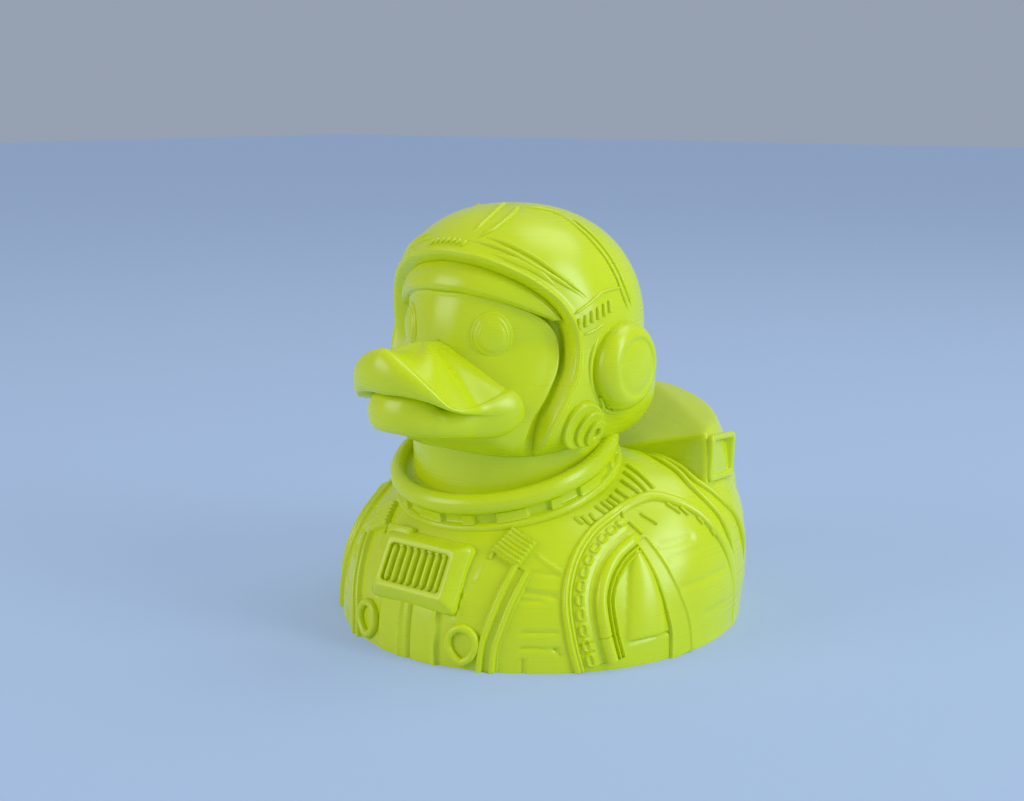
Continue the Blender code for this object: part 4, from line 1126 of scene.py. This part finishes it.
def pack_grid():
    """Back pack: planes that meet in soft ridges, closed by a rear that follows the body's plan.

    Along each ray from its middle the reach is a power mean of the distances to four planes and to
    an ellipsoid about the body's axis, whose distance solves a quadratic equation.
    """
    kit, size = kit_sizes(), body_sizes()
    crest, corner, foot, side_foot, side_way = pack_places()
    middle = np.array([0.0, 24.0 * MM, size.height - 11.0 * MM])
    tilt = np.radians(np.linspace(0.6, 108.0, 170))[:, None]
    spin = np.radians(np.linspace(-180.0, 180.0, 360, endpoint=False))[None, :]
    way = np.stack(np.broadcast_arrays(np.sin(tilt) * np.sin(spin), -np.sin(tilt) * np.cos(spin),
                                       np.cos(tilt) + spin * 0), -1)
    fold = np.stack([(way[..., 0] ** 6 + 0.4 ** 6) ** (1.0 / 6.0), way[..., 1], way[..., 2]], -1)
    half = np.array([size.half_width - 1.2 * MM, size.back - 0.8 * MM, 47.5 * MM])
    start = (middle - np.array([0.0, 1.3 * MM, 16.8 * MM])) / half
    run = way / half
    along, square = run @ start, np.sum(run * run, axis=-1)
    total = (square / (np.sqrt(along ** 2 - square * (start @ start - 1.0)) - along)) ** kit.pack_edge
    planes = ((np.cross(corner - crest, foot - crest), crest),
              (np.cross(side_foot - corner, foot - corner), corner),
              (np.cross(corner - crest, [0.0, 1.0, 0.0]), crest), (side_way, side_foot))
    for normal, place in planes:
        normal = unit(normal)
        distance = normal @ (place - middle)
        total = total + np.maximum(fold @ normal / distance, 0.0) ** kit.pack_edge
    return middle + way * (total ** (-1.0 / kit.pack_edge))[..., None]


def port_form(side):
    """Frame of a nozzle's mouth on the pack's end, its top falling towards the rear."""
    kit = kit_sizes()
    side_foot, side_way = pack_places()[3:]
    way = side_way * np.array([side, 1.0, 1.0])
    rear = np.array([-side * side_way[1], side_way[0], 0.0])
    place = way * (side_way @ side_foot) + rear * 8.9 * MM
    place[2] = body_sizes().height - 0.9 * MM
    slant = math.radians(kit.port_slant)
    return PlateForm(place, way, np.array([0.0, 0.0, math.cos(slant)]) + rear * math.sin(slant))


def port_grids():
    """Nozzles: a rounded frame that flares outwards, with a hollow that narrows inwards."""
    kit = kit_sizes()
    wall = kit.port_wall
    levels = [(-2.0 * wall, -6.0 * MM), (-0.4 * MM, -1.6 * MM), (0.0, -0.6 * MM), (0.05 * MM, 0.1 * MM),
              (-0.1 * MM, 0.45 * MM),
              (-0.35 * MM, 0.6 * MM), (-0.35 * MM - 0.4 * wall, 0.6 * MM), (-0.85 * wall, 0.45 * MM),
              (-wall, 0.0),
              (-1.25 * wall, -1.2 * MM), (-1.6 * wall, -2.2 * MM), (-2.2 * wall, -2.4 * MM)]
    return [stacked(port_form(side), kit.port_width / 2, kit.port_height / 2, 1.2 * MM, levels, 160)
            for side in SIDES]


class DUCK_OT_suit(bpy.types.Operator):
    """Builds the suit's skin with its creases"""
    bl_idname = "duck.suit"
    bl_label = "Suit"

    def execute(self, context):
        place_piece("suit_skin", [suit_grid()])
        return {'FINISHED'}


class DUCK_OT_sleeves(bpy.types.Operator):
    """Builds the sleeves' beads, link chains, cords and straps, and the shoulders' bars and ropes"""
    bl_idname = "duck.sleeves"
    bl_label = "Sleeves"

    def execute(self, context):
        place_piece("sleeve_trim", sleeve_grids())
        place_piece("shoulder_bars", ladder_grids())
        place_piece("shoulder_ropes", rope_grids())
        return {'FINISHED'}


class DUCK_OT_harness(bpy.types.Operator):
    """Builds the front straps, the breast pack and the buckles"""
    bl_idname = "duck.harness"
    bl_label = "Harness"

    def execute(self, context):
        place_piece("harness_straps", harness_grids())
        place_piece("breast_pack", box_grids(), 40.0)
        place_piece("buckles", [buckle_grid(side) for side in SIDES])
        return {'FINISHED'}


class DUCK_OT_collar(bpy.types.Operator):
    """Builds the collar and the neck"""
    bl_idname = "duck.collar"
    bl_label = "Collar"

    def execute(self, context):
        place_piece("collar_ring", [collar_grid()])
        place_piece("neck", [neck_grid()])
        return {'FINISHED'}


class DUCK_OT_head(bpy.types.Operator):
    """Builds the face and helmet, the visor and the helmet's trim"""
    bl_idname = "duck.head"
    bl_label = "Head"

    def execute(self, context):
        place_piece("helmet_and_face", [head_grid()], 60.0)
        place_piece("visor", [visor_grid()], 60.0)
        place_piece("helmet_trim", helmet_trim_grids())
        return {'FINISHED'}


class DUCK_OT_face(bpy.types.Operator):
    """Builds the bill, the eyes, the ear cups and the jaw hubs"""
    bl_idname = "duck.face"
    bl_label = "Bill, eyes and ears"

    def execute(self, context):
        place_piece("upper_bill", [upper_bill_grid()], 40.0)
        place_piece("lower_bill", [lower_bill_grid()], 60.0)
        place_piece("eyes", eye_grids())
        place_piece("ear_cups", ear_grids())
        place_piece("jaw_hubs", hub_grids())
        return {'FINISHED'}


class DUCK_OT_pack(bpy.types.Operator):
    """Builds the back pack and its nozzles"""
    bl_idname = "duck.pack"
    bl_label = "Back pack"

    def execute(self, context):
        place_piece("back_pack", [pack_grid()], 70.0)
        place_piece("pack_nozzles", port_grids(), 40.0)
        return {'FINISHED'}


CAMERA_PLACE = (185.503 * MM, -246.171 * MM, 106.135 * MM)
CAMERA_YAW, CAMERA_PITCH = 38.161, 11.428
CAMERA_LENS = 52.734


class DUCK_OT_stage(bpy.types.Operator):
    """Builds the floor, the studio lights, the world and the camera"""
    bl_idname = "duck.stage"
    bl_label = "Stage"

    def execute(self, context):
        scene = context.scene
        floor_material = stage_paper()
        extent = 3.0
        mesh = bpy.data.meshes.new("stage_floor")
        depth = CAD_BOX[0][2]
        mesh.from_pydata([(-extent, -extent, depth), (extent, -extent, depth), (extent, extent, depth),
                          (-extent, extent, depth)], [], [(0, 1, 2, 3)])
        floor = bpy.data.objects.new("stage_floor", mesh)
        scene.collection.objects.link(floor)
        mesh.materials.append(floor_material)

        world = bpy.data.worlds.new("studio")
        scene.world = world
        world.use_nodes = True
        world.node_tree.nodes["Background"].inputs["Color"].default_value = (0.64, 0.74, 0.92, 1.0)
        world.node_tree.nodes["Background"].inputs["Strength"].default_value = 0.48

        for name, azimuth, elevation, distance, width, height, power, tint in (
                ("key", 98.0, 28.0, 0.75, 0.26, 0.60, 3.1, (0.84, 0.98, 1.0)),
                ("top", 150.0, 65.0, 0.80, 0.45, 0.45, 1.7, (0.90, 0.97, 1.0)),
                ("fill", -30.0, 20.0, 0.90, 0.50, 0.50, 2.8, (0.96, 0.97, 1.0))):
            light = bpy.data.lights.new(name, 'AREA')
            light.shape = 'RECTANGLE'
            light.size = width
            light.size_y = height
            light.energy = power
            light.color = tint
            lamp = bpy.data.objects.new(name, light)
            scene.collection.objects.link(lamp)
            turn, lift = math.radians(azimuth), math.radians(elevation)
            way = np.array([math.sin(turn) * math.cos(lift), -math.cos(turn) * math.cos(lift),
                            math.sin(lift)])
            lamp.location = way * distance + np.array([0.0, 0.0, 0.04])
            lamp.rotation_euler = (math.radians(90.0 - elevation), 0.0, turn)

        camera = bpy.data.cameras.new("camera")
        camera.lens = CAMERA_LENS
        camera.sensor_width = 36.0
        holder = bpy.data.objects.new("camera", camera)
        scene.collection.objects.link(holder)
        holder.location = CAMERA_PLACE
        holder.rotation_euler = (math.radians(90.0 - CAMERA_PITCH), 0.0, math.radians(CAMERA_YAW))
        scene.camera = holder
        scene.view_settings.view_transform = 'Standard'
        return {'FINISHED'}


class DUCK_PT_panel(bpy.types.Panel):
    """Lists the duck's sizes and the operators that build it"""
    bl_idname = "DUCK_PT_panel"
    bl_label = "Printed duck"
    bl_space_type = 'VIEW_3D'
    bl_region_type = 'UI'
    bl_category = "Duck"

    def draw(self, context):
        for group in (context.scene.duck_body, context.scene.duck_head, context.scene.duck_kit,
                      context.scene.duck_finish):
            box = self.layout.box()
            for name in group.__annotations__:
                box.prop(group, name)
        for operator in OPERATORS:
            self.layout.operator(operator.bl_idname)


GROUPS = {"duck_body": DuckBodySizes, "duck_head": DuckHeadSizes, "duck_kit": DuckKitSizes,
          "duck_finish": DuckFinish}
OPERATORS = (DUCK_OT_suit, DUCK_OT_sleeves, DUCK_OT_harness, DUCK_OT_collar, DUCK_OT_head, DUCK_OT_face,
             DUCK_OT_pack,
             DUCK_OT_stage)


def register():
    for item in (*GROUPS.values(), *OPERATORS, DUCK_PT_panel):
        bpy.utils.register_class(item)
    for name, group in GROUPS.items():
        setattr(bpy.types.Scene, name, bpy.props.PointerProperty(type=group))


def unregister():
    for name in GROUPS:
        delattr(bpy.types.Scene, name)
    for item in reversed((*GROUPS.values(), *OPERATORS, DUCK_PT_panel)):
        bpy.utils.unregister_class(item)


def main():
    """Builds every piece in order."""
    register()
    for operator in (bpy.ops.duck.suit, bpy.ops.duck.sleeves, bpy.ops.duck.harness, bpy.ops.duck.collar,
                     bpy.ops.duck.head, bpy.ops.duck.face, bpy.ops.duck.pack, bpy.ops.duck.stage):
        operator()


if __name__ == "__main__":
    main()
